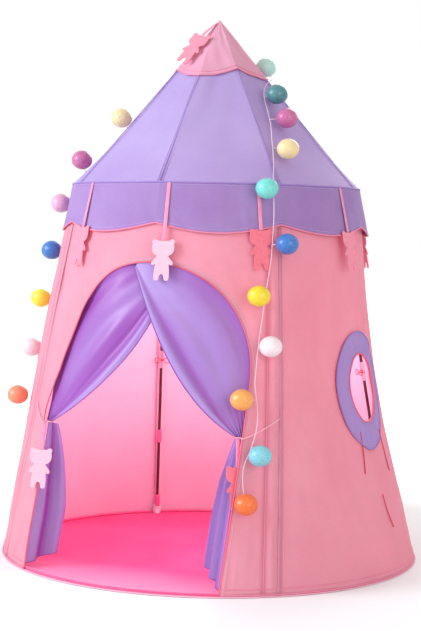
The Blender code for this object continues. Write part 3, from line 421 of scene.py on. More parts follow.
# Painted shade: the second colour of each row of stitches, darker than the cloth under it, fills the dips
# between stitches.
PINK_STITCH = Stitch("pink stitches", (250, 190, 206), (214, 130, 152))
LILAC_STITCH = Stitch("lilac stitches", (206, 186, 234), (146, 112, 176))
PALE_FELT = Felt("pale pink felt", (253, 194, 210), (249, 184, 202))
CORAL_FELT = Felt("coral felt", (250, 132, 148), (243, 118, 136))
PINK_FELT = Felt("pink felt", (248, 150, 172), (241, 136, 160))
RIBBON = Felt("pink ribbon", (246, 160, 190), (236, 140, 174))
RING_SLEEVE = Felt("ring sleeve", (255, 112, 164), (246, 92, 150))
ROD = Hard("glass fibre rod", (74, 16, 30), (100, 34, 46), 0.36, grain=(1.0, 1.0, 0.15))
FERRULE = Hard("bright ferrule", (232, 226, 230), (206, 198, 204), 0.34, 1.0, (1.0, 1.0, 0.2))
PLASTIC = Hard("white moulding", (236, 232, 236), (214, 208, 214), 0.46)


# The tent's form


@dataclass(frozen=True)
class TentForm:
    """The tent's surfaces as functions of an angle from the door's middle and a height, in metres."""

    height: float = 1.350
    floor_radius: float = 0.525
    eave_radius: float = 0.360
    eave_height: float = 0.930
    twist: float = 6.0
    first_pole: float = 45.0
    sags: tuple[float, ...] = (0.041, 0.014, -0.007, 0.0)
    cloth: float = 0.0018
    roof_drop: float = 0.004
    roof_overhang: float = 0.0035
    eave_drop: float = 0.002
    facet_height: float = 0.150
    ridge_spacing: float = 45.0

    @property
    def lean(self) -> float:
        """How far the wall leans in for each metre that it rises."""
        return (self.floor_radius - self.eave_radius) / self.eave_height

    @property
    def slope(self) -> float:
        """Angle of the roof above the level."""
        rise = self.height - self.roof_drop - self.eave_height + self.eave_drop
        return math.atan2(rise, self.eave_radius + self.roof_overhang)

    def ring(self, angle: Array, radius: Array, height: Array) -> Array:
        """Points at angles in degrees, distances from the axis and heights, along a new last axis."""
        turn = np.radians(angle)
        return np.stack(np.broadcast_arrays(radius * np.sin(turn), -radius * np.cos(turn), height), axis=-1)

    def straight_radius(self, height: Array) -> Array:
        """Radius at a height of a wall with no sag."""
        leaned = (self.eave_radius - self.floor_radius) * np.asarray(height) / self.eave_height
        return self.floor_radius + leaned

    def wall_radius(self, angle: Array, height: Array) -> Array:
        """Outer radius of the wall.

        Straight from floor to eave, less a sag for each quarter: the sine of twice the angle from the
        pole, times the sine of the height's share to the power 1.5.
        """
        share = np.clip(np.asarray(height) / self.eave_height, 0, 1)
        from_pole = np.mod(np.asarray(angle) - self.first_pole, 360.0)
        sag = np.asarray(self.sags)[(from_pole // 90).astype(int) % 4]
        across = np.sin(np.radians(2 * np.mod(from_pole, 90)))
        return self.straight_radius(height) - sag * across * np.sin(np.pi * share) ** 1.5

    def wall_point(self, angle: Array, height: Array, out: Array = 0.0) -> Array:
        """Points on the wall, this far outside it; the angle turns with the twist as it rises."""
        turned = np.asarray(angle) + self.twist * np.asarray(height) / self.eave_height
        return self.ring(turned, self.wall_radius(angle, height) + out, height)

    def wall_angle(self, along: Array, height: Array) -> Array:
        """Angle of a place that lies this far along the wall from the door's middle."""
        return np.degrees(np.asarray(along) / self.straight_radius(height))

    def roof_radius(self, angle: Array, height: Array, top: float) -> Array:
        """Radius of a cone with its point at top, eight-sided above the eave.

        The cone's radius is the drop below its point times the cotangent of the slope; a flat side has
        the cosine of 22.5 degrees over the cosine of the angle from its middle as its share of that.
        """
        share = np.clip((np.asarray(height) - self.eave_height) / self.facet_height, 0, 1)
        half = self.ridge_spacing / 2
        from_middle = np.mod(np.asarray(angle) - self.twist, self.ridge_spacing) - half
        flat = math.cos(math.radians(half)) / np.cos(np.radians(from_middle))
        return (top - np.asarray(height)) / math.tan(self.slope) * (1 - share * (1 - flat))

    def outward(self, angle: float) -> Array:
        """Unit vector away from the axis."""
        return self.ring(np.asarray(angle), 1.0, 0.0)

    def sideways(self, angle: float) -> Array:
        """Unit vector along the wall, towards growing angles."""
        turn = math.radians(angle)
        return np.array((math.cos(turn), math.sin(turn), 0.0))


@dataclass(frozen=True)
class Neck:
    """Where a tie-back gathers a curtain, and the tie-back's cord."""

    height: float = 0.350
    inset: float = 0.002
    depth: float = 0.017
    half_width: float = 0.013
    cord_radius: float = 0.0015
    gap: float = 0.0003


FORM = TentForm()
NECK = Neck()


def whole_turn(count: int, whole: float = 360.0) -> Array:
    """This many angles spread evenly over a whole turn, the last one step short of the first."""
    return np.linspace(0, whole, count, endpoint=False)


def hump(value: Array, centre: float, reach: float) -> Array:
    """A smooth hump: the squared cosine of the distance from the centre, nothing beyond its reach."""
    share = np.abs(np.asarray(value) - centre) / reach
    return np.where(share < 1, np.cos(np.pi / 2 * np.minimum(share, 1)) ** 2, 0.0)


def bell(value: Array, centre: float, width: float) -> Array:
    """A bell curve: e to the power of minus the square of the distance from the centre over the width."""
    return np.exp(-((np.asarray(value) - centre) / width) ** 2)


def ramp_up(value: Array, start: float, reach: float) -> Array:
    """Even rise from 0 at the start to 1 a reach further on; a negative reach runs the other way."""
    return np.clip((np.asarray(value) - start) / reach, 0, 1)


def unit(vectors: Array) -> Array:
    """The same vectors with a length of one."""
    return vectors / np.maximum(np.linalg.norm(vectors, axis=-1, keepdims=True), 1e-12)


def ripples(x: Array, y: Array, lengths: Sequence[float], seed: int, lean: float = 1.0) -> Array:
    """Soft uneven waves: a sum of sines of x and y with seeded directions and phases.

    Args:
        x: First coordinate in metres.
        y: Second coordinate in metres.
        lengths: Wave lengths in metres.
        seed: Seed of the directions and phases.
        lean: How much the waves may run along y as well as x.

    Returns:
        Heights between about -1 and 1.
    """
    draw = np.random.default_rng(seed)
    total = np.zeros(np.broadcast(x, y).shape)
    for length in lengths:
        turn = draw.uniform(-0.5, 0.5) * lean
        phase, wander = draw.uniform(0, 2 * np.pi, 2)
        along = np.asarray(x) * math.cos(turn) + np.asarray(y) * math.sin(turn)
        bent = along + 0.18 * length * np.sin(2 * np.pi * np.asarray(y) / (5.3 * length) + wander)
        total = total + np.sin(2 * np.pi * bent / length + phase)
    return total / max(1, len(lengths)) ** 0.5


def smooth_line(points: Array, count: int) -> Array:
    """Catmull-Rom line through points: each span is a cubic whose ends run along their neighbours.

    Args:
        points: Points to go through.
        count: Number of points on the line.

    Returns:
        Points spread evenly along the line's own parameter.
    """
    points = np.asarray(points, dtype=float)
    padded = np.concatenate([2 * points[:1] - points[1:2], points, 2 * points[-1:] - points[-2:-1]])
    place = np.linspace(0, len(points) - 1, count)
    span = np.minimum(place.astype(int), len(points) - 2)
    t = (place - span)[:, None]
    a, b, c, d = (padded[span + step] for step in range(4))
    return b + 0.5 * t * (c - a + t * (2 * a - 5 * b + 4 * c - d + t * (3 * (b - c) + d - a)))


# Mesh building


def add_object(name: str, data: bpy.types.ID) -> Item:
    """Puts a mesh, lamp, camera or curve into the scene as an object of this name."""
    item = bpy.data.objects.new(name, data)
    bpy.context.scene.collection.objects.link(item)
    return item


def settle(item: Item, body: str, stands_for: Sequence[str] = ()) -> Item:
    """Gives a finished piece its body and the nodes that it stands for."""
    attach(item, body)
    if stands_for:
        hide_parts(*stands_for)
    LOG.info("%s: %d faces, on %s", item.name, len(item.data.polygons), body)
    return item


def dress(node: str, finish: Finish) -> None:
    """Gives a node of the frame its finish."""
    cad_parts[node].material_slots[0].material = finish.material()


def make_object(name: str, points: Array, faces: Array, uv: Array, finishes: Sequence[Finish],
                marks: Optional[Array] = None) -> Item:
    """Puts a closed mesh into the scene, with its faces turned outwards.

    Args:
        name: The piece's name.
        points: Its vertices.
        faces: Its four-sided faces, as rows of vertex numbers.
        uv: A coordinate in metres for each corner of each face.
        finishes: Its finishes.
        marks: The finish number of each face.

    Returns:
        The object, smooth shaded.
    """
    a, b, c, d = (points[faces[:, step]] for step in range(4))
    volume = np.einsum("ij,ij->", a, np.cross(b, c)) + np.einsum("ij,ij->", a, np.cross(c, d))
    if volume < 0:
        faces, uv = faces[:, ::-1], uv[:, ::-1]
    mesh = bpy.data.meshes.new(name)
    mesh.from_pydata(points.tolist(), [], faces.tolist())
    layer = mesh.uv_layers.new(name="cloth")
    layer.data.foreach_set("uv", uv.reshape(-1).astype(np.float32))
    if marks is not None:
        mesh.polygons.foreach_set("material_index", marks.astype(np.int32))
    mesh.polygons.foreach_set("use_smooth", np.ones(len(faces), dtype=bool))
    for finish in finishes:
        mesh.materials.append(finish.material())
    mesh.update()
    return add_object(name, mesh)


def grid_faces(rows: int, columns: int, closed: bool) -> Array:
    """Faces of a grid of points, row by row; a closed grid also joins its last column to its first."""
    across = np.arange(columns if closed else columns - 1)
    down = np.arange(rows - 1)[:, None]
    here, there = down * columns + across, down * columns + (across + 1) % columns
    return np.stack([here, there, there + columns, here + columns], axis=-1).reshape(-1, 4)


def grid_normals(points: Array, closed: bool) -> Array:
    """Normals of a grid: the cross product of its two directions at each point."""
    wide = np.concatenate([points[:, -1:], points, points[:, :1]], axis=1) if closed else points
    across = np.gradient(wide, axis=1)
    if closed:
        across = across[:, 1:-1]
    return unit(np.cross(across, np.gradient(points, axis=0)))


def end_cap(start: int, sides: int) -> Array:
    """Faces across a round end whose points begin at this number: strips between opposite points."""
    step = np.arange(sides // 2 - 1)
    here, there = start + step, start + sides - 1 - step
    return np.stack([here, here + 1, there - 1, there], axis=-1)


def cloth_piece(name: str, points: Array, uv: Array, thickness: float, finishes: Sequence[Finish],
                closed: bool = False, inwards: Optional[Array] = None, wrap: float = 0.0,
                fold: Optional[Array] = None) -> Item:
    """Cloth with two faces and a rim: the grid, and the grid moved along its normals by the thickness.

    Args:
        name: The piece's name.
        points: Grid of points on its outer face.
        uv: Cut coordinates of the grid in metres.
        thickness: Distance to its inner face; a negative one goes the other way.
        finishes: Finish of the outer face, and of the inner face if there is a second one.
        closed: Whether the last column meets the first.
        inwards: Direction from the outer to the inner face, instead of the normals.
        wrap: Width of cloth after which a closed piece's cut coordinates start again, if they do.
        fold: Painted light and shade for each point, 0 to 1, kept as the fold attribute; zero shows the
            painted colour.

    Returns:
        The piece.
    """
    rows, columns = points.shape[:2]
    away = grid_normals(points, closed) if inwards is None else inwards
    inner = points + away * thickness
    front = grid_faces(rows, columns, closed)
    back = front[:, ::-1] + rows * columns
    index = np.arange(rows * columns).reshape(rows, columns)
    if closed:
        edges = [index[0], index[-1, ::-1]]
    else:
        edges = [np.concatenate([index[0], index[1:, -1], index[-1, -2::-1], index[-2:0:-1, 0]])]
    rims = []
    for edge in edges:
        after = np.roll(edge, -1)
        rims.append(np.stack([after, edge, edge + rows * columns, after + rows * columns], axis=-1))
    rim = np.concatenate(rims)
    faces = np.concatenate([front, back, rim])
    flat = np.tile(uv.reshape(-1, 2), (2, 1))[faces]
    if wrap:
        low = flat[..., 0].max(axis=1, keepdims=True) - flat[..., 0] > wrap / 2
        flat[..., 0] = np.where(low, flat[..., 0] + wrap, flat[..., 0])
    marks = np.zeros(len(faces), dtype=int)
    if len(finishes) > 1:
        marks[len(front):len(front) + len(back)] = 1
    item = make_object(name, np.concatenate([points.reshape(-1, 3), inner.reshape(-1, 3)]), faces, flat,
                       finishes, marks)
    if fold is not None:
        item.data.attributes.new("fold", "FLOAT", "POINT").data.foreach_set(
            "value", np.tile(np.clip(fold, 0, 1).reshape(-1), 2).astype(np.float32))
    return item


def tube_piece(name: str, path: Array, radius: float, finish: Finish, closed: bool = False, sides: int = 8,
               outwards: Optional[Array] = None, squash: float = 1.0) -> Item:
    """A round cord along a path: circles across the path, joined to each other.

    Args:
        name: The piece's name.
        path: Points of its centreline.
        radius: Its radius.
        finish: Its finish.
        closed: Whether its end meets its start.
        sides: Number of sides.
        outwards: A direction for each point that isn't along the path; away from the axis if none is given.
        squash: Thickness of the cord along that direction, as a share of its width.

    Returns:
        The piece.
    """
    count = len(path)
    if outwards is None:
        outwards = unit(path * np.array((1.0, 1.0, 0.0)) + np.array((0.0, 0.0, 1e-4)))
    wide = np.concatenate([path[-1:], path, path[:1]]) if closed else path
    tangent = np.gradient(wide, axis=0)
    tangent = unit(tangent[1:-1] if closed else tangent)
    side = unit(np.cross(tangent, outwards))
    out = np.cross(side, tangent)
    turn = whole_turn(sides, 2 * np.pi)
    shape = side[:, None] * np.cos(turn)[:, None] + out[:, None] * np.sin(turn)[:, None] * squash
    points = (path[:, None] + radius * shape).reshape(-1, 3)
    ring = np.arange(sides)
    down = np.arange(count if closed else count - 1)[:, None]
    below, after = (down + 1) % count, (ring + 1) % sides
    faces = np.stack([down * sides + ring, down * sides + after, below * sides + after, below * sides + ring],
                     axis=-1).reshape(-1, 4)
    steps = np.linalg.norm(np.diff(wide[1:] if closed else path, axis=0), axis=1)
    along = np.concatenate([[0.0], np.cumsum(steps)])
    width = 2 * np.pi * radius / sides
    corners = ((ring, along[:-1]), (ring + 1, along[:-1]), (ring + 1, along[1:]), (ring, along[1:]))
    uv = np.stack([np.stack(np.broadcast_arrays(step * width, place[:, None]), axis=-1)
                   for step, place in corners], axis=-2).reshape(-1, 4, 2)
    if not closed:
        caps = np.concatenate([end_cap(0, sides)[:, ::-1], end_cap((count - 1) * sides, sides)])
        faces = np.concatenate([faces, caps])
        uv = np.concatenate([uv, np.zeros((len(caps), 4, 2))])
    return make_object(name, points, faces, uv, (finish,))


def edging(slot: str, name: str, path: Array, radius: float, finish: Finish, **ways: object) -> None:
    """A piping, cord or row of stitches that stays on the tent; ways are what else a tube may be given."""
    settle(tube_piece(name, path, radius, finish, **ways), "tent")


# Studio


@dataclass
class Studio:
    """Camera, lamps, world and floor."""

    azimuth: float = 27.3987
    distance: float = 3.9
    eye_height: float = 0.8156
    yaw: float = 0.1169
    pitch: float = -3.1314
    roll: float = 1.1852
    focal_pixels: float = 1531.8112
    frame_height: float = 631.0
    sensor: float = 36.0
    ambient: float = 0.62
    floor_size: float = 60.0
    floor_drop: float = 0.0008
    floor_shade: float = 0.86
    fade: tuple[float, float, float, float] = (0.9, 2.2, 0.1, 1.0)
    lamps: tuple[tuple[str, Triple, float, float, Colour], ...] = (
        ("key", (-3.0, -3.4, 2.4), 2.4, 190.0, (238, 244, 255)),
        ("fill", (3.4, -2.2, 1.4), 2.4, 40.0, (255, 244, 240)),
        ("rim", (-0.5, 3.6, 2.6), 2.4, 60.0, WHITE),
    )
    glow_place: Triple = (0.02, 0.02, 0.55)
    glow_radius: float = 0.18
    glow_power: float = 8.0

    def camera(self) -> None:
        """Sets the camera at the photograph's place, direction and focal length."""
        turn = math.radians(self.azimuth)
        place = Vector((math.sin(turn) * self.distance, -math.cos(turn) * self.distance, self.eye_height))
        heading, pitch = turn + math.pi + math.radians(self.yaw), math.radians(self.pitch)
        level = math.cos(pitch)
        ahead = Vector((math.sin(heading) * level, -math.cos(heading) * level, math.sin(pitch)))
        right = ahead.cross(Vector((0, 0, 1))).normalized()
        up = right.cross(ahead)
        roll = math.radians(self.roll)
        across = right * math.cos(roll) + up * math.sin(roll)
        upright = up * math.cos(roll) - right * math.sin(roll)
        lens = bpy.data.cameras.new("camera")
        lens.sensor_width = self.sensor
        lens.lens = self.focal_pixels / self.frame_height * self.sensor
        item = add_object("camera", lens)
        turned = Matrix((across, upright, -ahead)).transposed().to_4x4()
        item.matrix_world = Matrix.Translation(place) @ turned
        bpy.context.scene.camera = item

    def lamp(self, name: str, place: Triple, size: float, power: float, colour: Colour) -> None:
        """Adds a round lamp that faces the tent's middle."""
        data = bpy.data.lights.new(name, "AREA")
        data.shape = "DISK"
        data.size = size
        data.energy = power
        data.color = linear(colour)[:3]
        item = add_object(name, data)
        item.location = place
        towards = Vector((0, 0, FORM.height / 2)) - Vector(place)
        item.rotation_euler = towards.to_track_quat("-Z", "Y").to_euler()

    def glow(self) -> None:
        """Adds the soft light that fills the inside of the tent, itself out of sight."""
        data = bpy.data.lights.new("inside", "POINT")
        data.shadow_soft_size = self.glow_radius
        data.energy = self.glow_power
        item = add_object("inside", data)
        item.location = self.glow_place
        item.visible_camera = False
        item.visible_glossy = False

    def world(self) -> None:
        """Even light from all round, and plain white where the camera, gloss or glass sees past the tent."""
        world = bpy.data.worlds.new("studio")
        bpy.context.scene.world = world
        web = Web(world, "ShaderNodeOutputWorld")
        path = web.node("ShaderNodeLightPath")
        seen = web.maths("ADD", path.outputs["Is Camera Ray"], path.outputs["Is Glossy Ray"])
        seen = web.maths("ADD", seen, path.outputs["Is Transmission Ray"])
        seen.node.use_clamp = True
        strength = web.node("ShaderNodeMix", A=self.ambient, B=1.0)
        web.join(seen, strength.inputs["Factor"])
        back = web.node("ShaderNodeBackground")
        back.inputs["Color"].default_value = linear(WHITE)
        web.join(strength.outputs["Result"], back.inputs["Strength"])
        web.cover(back)

    def floor(self) -> None:
        """A plain pale floor that takes the tent's soft shadow."""
        half, low = self.floor_size / 2, -self.floor_drop
        mesh = bpy.data.meshes.new("studio_floor")
        mesh.from_pydata([(-half, -half, low), (half, -half, low), (half, half, low), (-half, half, low)], [],
                         [(0, 1, 2, 3)])
        item = add_object("studio_floor", mesh)
        material = bpy.data.materials.new("studio floor")
        web = Web(material)
        shader = web.node("ShaderNodeBsdfPrincipled", Roughness=0.9, Specular_IOR_Level=0.0)
        shader.inputs["Base Color"].default_value = (self.floor_shade,) * 3 + (1.0,)
        path = web.node("ShaderNodeLightPath")
        place = web.node("ShaderNodeTexCoord")
        reach = web.node("ShaderNodeVectorMath", operation="LENGTH")
        web.join(place.outputs["Object"], reach.inputs[0])
        fade = web.node("ShaderNodeMapRange", clamp=True)
        web.join(reach.outputs["Value"], fade.inputs["Value"])
        for name, value in zip(("From Min", "From Max", "To Min", "To Max"), self.fade):
            fade.inputs[name].default_value = value
        light = web.node("ShaderNodeEmission")
        seen = web.maths("MULTIPLY", path.outputs["Is Camera Ray"], fade.outputs[0])
        web.join(seen, light.inputs["Strength"])
        add = web.node("ShaderNodeAddShader")
        web.join(shader.outputs[0], add.inputs[0])
        web.join(light.outputs[0], add.inputs[1])
        web.cover(add)
        mesh.materials.append(material)

    def build(self) -> None:
        """Builds everything round the tent."""
        bpy.context.scene.view_settings.view_transform = "Standard"
        self.camera()
        self.world()
        self.floor()
        for lamp in self.lamps:
            self.lamp(*lamp)
        self.glow()


# Cords and lights


@dataclass
class LightString:
    """The string of cotton ball lights, its lead and the battery box that it ends in."""

    radius: float = 0.001
    ball_radius: float = 0.0265
    ball_height: float = 0.0240
    ball_out: float = 0.0215
    end_drop: float = 0.015
    stem_radius: float = 0.0009
    length: float = 3.01
    piece_reach: float = 0.058
    count: int = 420
    ball_rows: int = 24
    ball_columns: int = 36
    pole_turn: float = 0.02
    dents: tuple[float, ...] = (0.021, 0.034)
    dent_share: float = 0.008
    route: tuple[Triple, ...] = (
        (36.4, 0.496, 0.224), (36.0, 0.491, 0.250), (36.2, 0.485, 0.287), (38.0, 0.478, 0.322),
        (39.6, 0.472, 0.360), (40.4, 0.465, 0.397), (40.2, 0.458, 0.437), (39.8, 0.452, 0.471),
        (40.2, 0.446, 0.504), (40.8, 0.439, 0.543), (41.9, 0.430, 0.594), (43.3, 0.420, 0.650),
        (44.4, 0.414, 0.697), (45.8, 0.4075, 0.749), (46.6, 0.4015, 0.806), (47.4, 0.392, 0.857),
        (48.0, 0.377, 0.912), (48.6, 0.3641, 0.9287), (51.0, 0.332, 0.980), (55.6, 0.274, 1.040),
        (59.8, 0.237, 1.077), (63.6, 0.202, 1.115), (68.5, 0.170, 1.152), (80.0, 0.148, 1.180),
        (97.0, 0.143, 1.200), (117.0, 0.122, 1.216), (140.0, 0.119, 1.228), (165.0, 0.113, 1.234),
        (196.0, 0.114, 1.234), (224.0, 0.116, 1.228), (246.0, 0.123, 1.216), (262.0, 0.136, 1.196),
        (272.0, 0.172, 1.160), (281.0, 0.236, 1.083), (282.5, 0.283, 1.028), (283.5, 0.333, 0.974),
        (285.5, 0.368, 0.938), (287.5, 0.377, 0.908), (288.5, 0.387, 0.860), (288.0, 0.394, 0.808),
        (287.0, 0.404, 0.758), (287.5, 0.4155, 0.698), (289.5, 0.4275, 0.636), (290.0, 0.439, 0.574),
        (289.5, 0.4505, 0.511), (293.0, 0.460, 0.457), (297.5, 0.4675, 0.408), (294.5, 0.4765, 0.358),
        (287.5, 0.487, 0.302), (279.5, 0.496, 0.245), (272.0, 0.507, 0.180), (264.0, 0.517, 0.115),
        (257.5, 0.535, 0.060), (253.6, 0.548, 0.024), (251.04, 0.5570, 0.0105),
    )
    balls: tuple[Triple, ...] = (
        (3.3, 0.015, -0.018), (6.0, -0.040, 0.003), (9.2, 0.024, 0.005), (11.4, -0.022, 0.003),
        (13.7, 0.029, 0.002), (16.2, -0.025, 0.002), (18.6, 0.025, -0.022), (20.3, 0.034, -0.013),
        (21.9, 0.021, -0.011), (26.2, 0.000, -0.006), (27.6, 0.000, 0.000), (29.5, 0.000, 0.000),
        (33.1, 0.026, 0.013), (35.4, 0.035, 0.025), (37.6, 0.004, 0.002), (40.0, 0.018, 0.002),
        (42.0, 0.013, 0.000), (44.0, 0.006, -0.003), (46.0, 0.040, -0.014),
    )
    shades: tuple[str, ...] = (
        "sky", "peach", "white", "yellow", "blue", "aqua", "cream", "magenta", "teal", "mint", "salmon",
        "yellow", "cream", "magenta", "blush", "blue", "lemon", "pearl", "salmon", "orange",
    )
    palette: dict[str, tuple[Colour, Colour]] = field(default_factory=lambda: {
        "sky": ((138, 214, 226), (110, 190, 208)), "peach": ((252, 178, 92), (240, 156, 66)),
        "white": ((250, 240, 242), (236, 214, 220)), "yellow": ((250, 226, 40), (238, 204, 20)),
        "blue": ((62, 128, 204), (38, 98, 180)), "aqua": ((128, 226, 214), (98, 204, 194)),
        "cream": ((246, 226, 174), (232, 206, 146)), "magenta": ((204, 112, 162), (184, 86, 142)),
        "teal": ((84, 142, 148), (60, 116, 124)), "mint": ((196, 236, 222), (170, 218, 204)),
        "salmon": ((252, 152, 116), (240, 128, 92)), "blush": ((238, 182, 212), (222, 160, 196)),
        "lemon": ((252, 240, 70), (242, 222, 40)), "pearl": ((250, 226, 230), (238, 204, 212)),
        "orange": ((250, 124, 50), (238, 98, 30)),
    })

    def ball(self, number: int, stem: Array, centre: Array) -> Item:
        """One ball: a flattened sphere dented by its threads, with the short stem that holds it.

        Args:
            number: Its place along the string, from zero.
            stem: Where its stem leaves the wire.
            centre: Its middle.

        Returns:
            The ball; its stem is a piece of its own.
        """
        rows, columns = self.ball_rows, self.ball_columns
        up, turn = np.meshgrid(np.linspace(self.pole_turn, np.pi - self.pole_turn, rows),
                               whole_turn(columns, 2 * np.pi), indexing="ij")
        dent = 1 + self.dent_share * ripples(turn * 0.05, up * 0.05, self.dents, 40 + number)
        x, y, z = np.sin(up) * np.cos(turn) * dent, np.sin(up) * np.sin(turn) * dent, np.cos(up) * dent
        points = np.stack([x * self.ball_radius, y * self.ball_radius, z * self.ball_height], axis=-1)
        points = points.reshape(-1, 3) + centre
        faces = np.concatenate([grid_faces(rows, columns, True), end_cap(0, columns)[:, ::-1],
                                end_cap((rows - 1) * columns, columns)])
        shade = self.palette[self.shades[number]]
        finish = CottonBall("cotton " + self.shades[number], *shade)
        item = make_object(f"light_ball_{number + 1}", points, faces, np.zeros((len(faces), 4, 2)), (finish,))
        line = stem + (centre - stem) * np.linspace(0, 1, 5)[:, None]
        reach = unit(centre - stem)
        across = unit(np.cross(reach, UP) + 1e-6)
        twig = tube_piece(f"light_stem_{number + 1}", line, self.stem_radius, CLEAR_WIRE, sides=6,
                          outwards=np.broadcast_to(across, line.shape))
        settle(twig, "tent")
        return settle(item, "tent")

    def build(self) -> None:
        """Builds the wire and its balls, and dresses the battery box."""
        way = np.asarray(self.route)
        corners = FORM.ring(way[:, 0], way[:, 1], way[:, 2])
        path = smooth_line(corners, self.count)
        wire = tube_piece("light_wire", path, self.radius, CLEAR_WIRE, sides=6)
        settle(wire, "tent", ("light_string",))
        for number, (place, aside, rise) in enumerate(self.balls):
            here, share = int(place), place - int(place)
            angle = way[here, 0] + (way[here + 1, 0] - way[here, 0]) * share
            height = way[here, 2] + (way[here + 1, 2] - way[here, 2]) * share
            stem = corners[here] + (corners[here + 1] - corners[here]) * share
            out = FORM.outward(angle)
            up = unit(UP - out * FORM.lean)
            if height > FORM.eave_height + self.ball_radius / 2:
                level, steep = math.cos(FORM.slope), math.sin(FORM.slope)
                out, up = out * steep + UP * level, UP * steep - out * level
            centre = stem + out * self.ball_out + FORM.sideways(angle) * aside + up * rise
            self.ball(number, stem, centre)
        end = corners[0] + FORM.outward(self.route[0][0]) * self.ball_out - UP * self.end_drop
        self.ball(len(self.balls), corners[0], end)
        dress("battery_box", PLASTIC)


@dataclass
class TieBacks:
    """The cords that gather the curtains, and the cords that hang at the window."""

    window_radius: float = 0.0014
    rise: float = 0.045
    rise_power: float = 1.3
    flat_room: float = 0.0008
    left_length: float = 0.144
    right_length: float = 0.160
    wall_shares: tuple[float, ...] = (0.03, 0.25, 0.5, 0.75, 0.95)
    edge_shares: tuple[Pair, ...] = ((-2.4, 1.9), (1.4, 1.2), (2.3, -0.6), (1.8, -2.9))
    window_height: float = 0.444
    window_shares: tuple[Pair, ...] = ((0.775, 0.555), (0.760, 0.530), (0.430, 0.250))
    window_angles: tuple[Pair, ...] = ((80.5, 79.5), (97.0, 99.5), (88.0, 90.5))
    loop_turns: Pair = (0.35 * math.pi, 1.95 * math.pi)
    loop_shares: Pair = (0.9, 0.6)
    loop_points: int = 9

    def tieback(self, side: Side, door: "Door") -> None:
        """One tie-back: from the pole's seam over the wall, round the door's edge and round the neck.

        Args:
            side: The side that it hangs on.
            door: The door that its curtain hangs in.
        """
        sign, height, radius = side.value, NECK.height, NECK.cord_radius
        half = float(door.half(np.array(height), side))
        edge, neck = sign * half, sign * (half - NECK.inset)
        out = radius + NECK.gap + self.flat_room / 2
        wall_radius = float(FORM.wall_radius(np.array(0.0), np.array(height + self.rise)))
        pole = sign * math.radians(FORM.first_pole) * wall_radius
        route = []
        for share in self.wall_shares:
            level = height + self.rise * (1 - share) ** self.rise_power
            route.append(FORM.wall_point(FORM.wall_angle(pole + (edge - pole) * share, level), level, out))
        ring = NECK.half_width - radius
        for past, depth in self.edge_shares:
            along = edge - sign * past * radius
            route.append(FORM.wall_point(FORM.wall_angle(along, height), height, depth * radius))
        for turn in np.linspace(*self.loop_turns, self.loop_points):
            along = neck + sign * ring * math.cos(turn) * self.loop_shares[0]
            depth = NECK.depth - ring * math.sin(turn) * self.loop_shares[1]
            route.append(FORM.wall_point(FORM.wall_angle(along, height), height, -depth))
        path = smooth_line(np.array(route), 150)
        item = tube_piece("tie_cord_" + side.word, path, radius, PALE_CORD,
                          outwards=np.broadcast_to(UP, path.shape))
        settle(item, "tent", ("tieback_" + side.word,))

    def window_cord(self, number: int) -> None:
        """One of the thin cords that hang at the window, the first two from on top of its cloth ring."""
        (high, low), (first, last) = self.window_shares[number], self.window_angles[number]
        share = np.linspace(0, 1, 60)
        angle = first + (last - first) * share ** 2
        top, bottom = high * self.window_height, low * self.window_height
        out = self.window_radius + 2 * NECK.gap
        if number < 2:
            out = out + np.minimum(1, 2 * (1 - share)) * (FORM.cloth + NECK.gap + self.flat_room)
        path = FORM.wall_point(angle, top + (bottom - top) * share, out)
        item = tube_piece(f"window_tie_{number + 1}", path, self.window_radius, CORAL_CORD)
        settle(item, "tent", (f"window_cord_{number + 1}",))

    def build(self, door: "Door") -> None:
        """Builds the five cords."""
        for side in Side:
            self.tieback(side, door)
        for number in range(len(self.window_shares)):
            self.window_cord(number)


# Wall


@dataclass
class Door:
    """The outline of the door: an arch with straight sides, its left edge hanging slack."""

    half_width: float = 0.275
    spring: float = 0.468
    slack_share: float = 0.21
    slack_height: float = 0.600
    slack_reach: float = 0.250
    pull: float = 0.016
    pull_height: float = NECK.height
    pull_reach: float = 0.140
    straight_share: float = 0.28

    def half(self, height: Array, side: Side) -> Array:
        """How far the edge lies from the middle.

        The root of the half width squared less the square of the height above the arch's spring; on the
        left it is narrowed by a hump of slack, and a hump towards the tie-back is added.
        """
        above = np.maximum(0.0, np.asarray(height) - self.spring)
        half = np.sqrt(np.maximum(0.0, self.half_width ** 2 - above ** 2))
        if side is Side.RIGHT:
            return half
        pulled = self.pull * hump(height, self.pull_height, self.pull_reach)
        return half * (1 - self.slack_share * hump(height, self.slack_height, self.slack_reach)) + pulled

    def outline(self, count: int, foot: float) -> tuple[Array, Array]:
        """The door's outline from its left foot to its right one.

        Args:
            count: Number of points.
            foot: Height of both feet.

        Returns:
            Distances along the wall from the door's middle, and heights.
        """
        side = int(count * self.straight_share)
        low = foot + (self.spring - foot) * np.linspace(0, 1, side, endpoint=False)
        turn = np.linspace(math.pi, 0, count - 2 * side)
        height = np.concatenate([low, self.spring + self.half_width * np.sin(turn), low[::-1]])
        left = np.concatenate([np.ones(side, bool), turn > math.pi / 2, np.zeros(side, bool)])
        arch = np.abs(np.cos(turn)) * self.half_width
        bare = np.concatenate([np.full(side, self.half_width), arch, np.full(side, self.half_width)])
        narrow = 1 - self.slack_share * hump(height, self.slack_height, self.slack_reach)
        pulled = self.pull * hump(height, self.pull_height, self.pull_reach)
        half = np.where(left, bare * narrow + pulled, bare)
        return np.where(left, -half, half), height


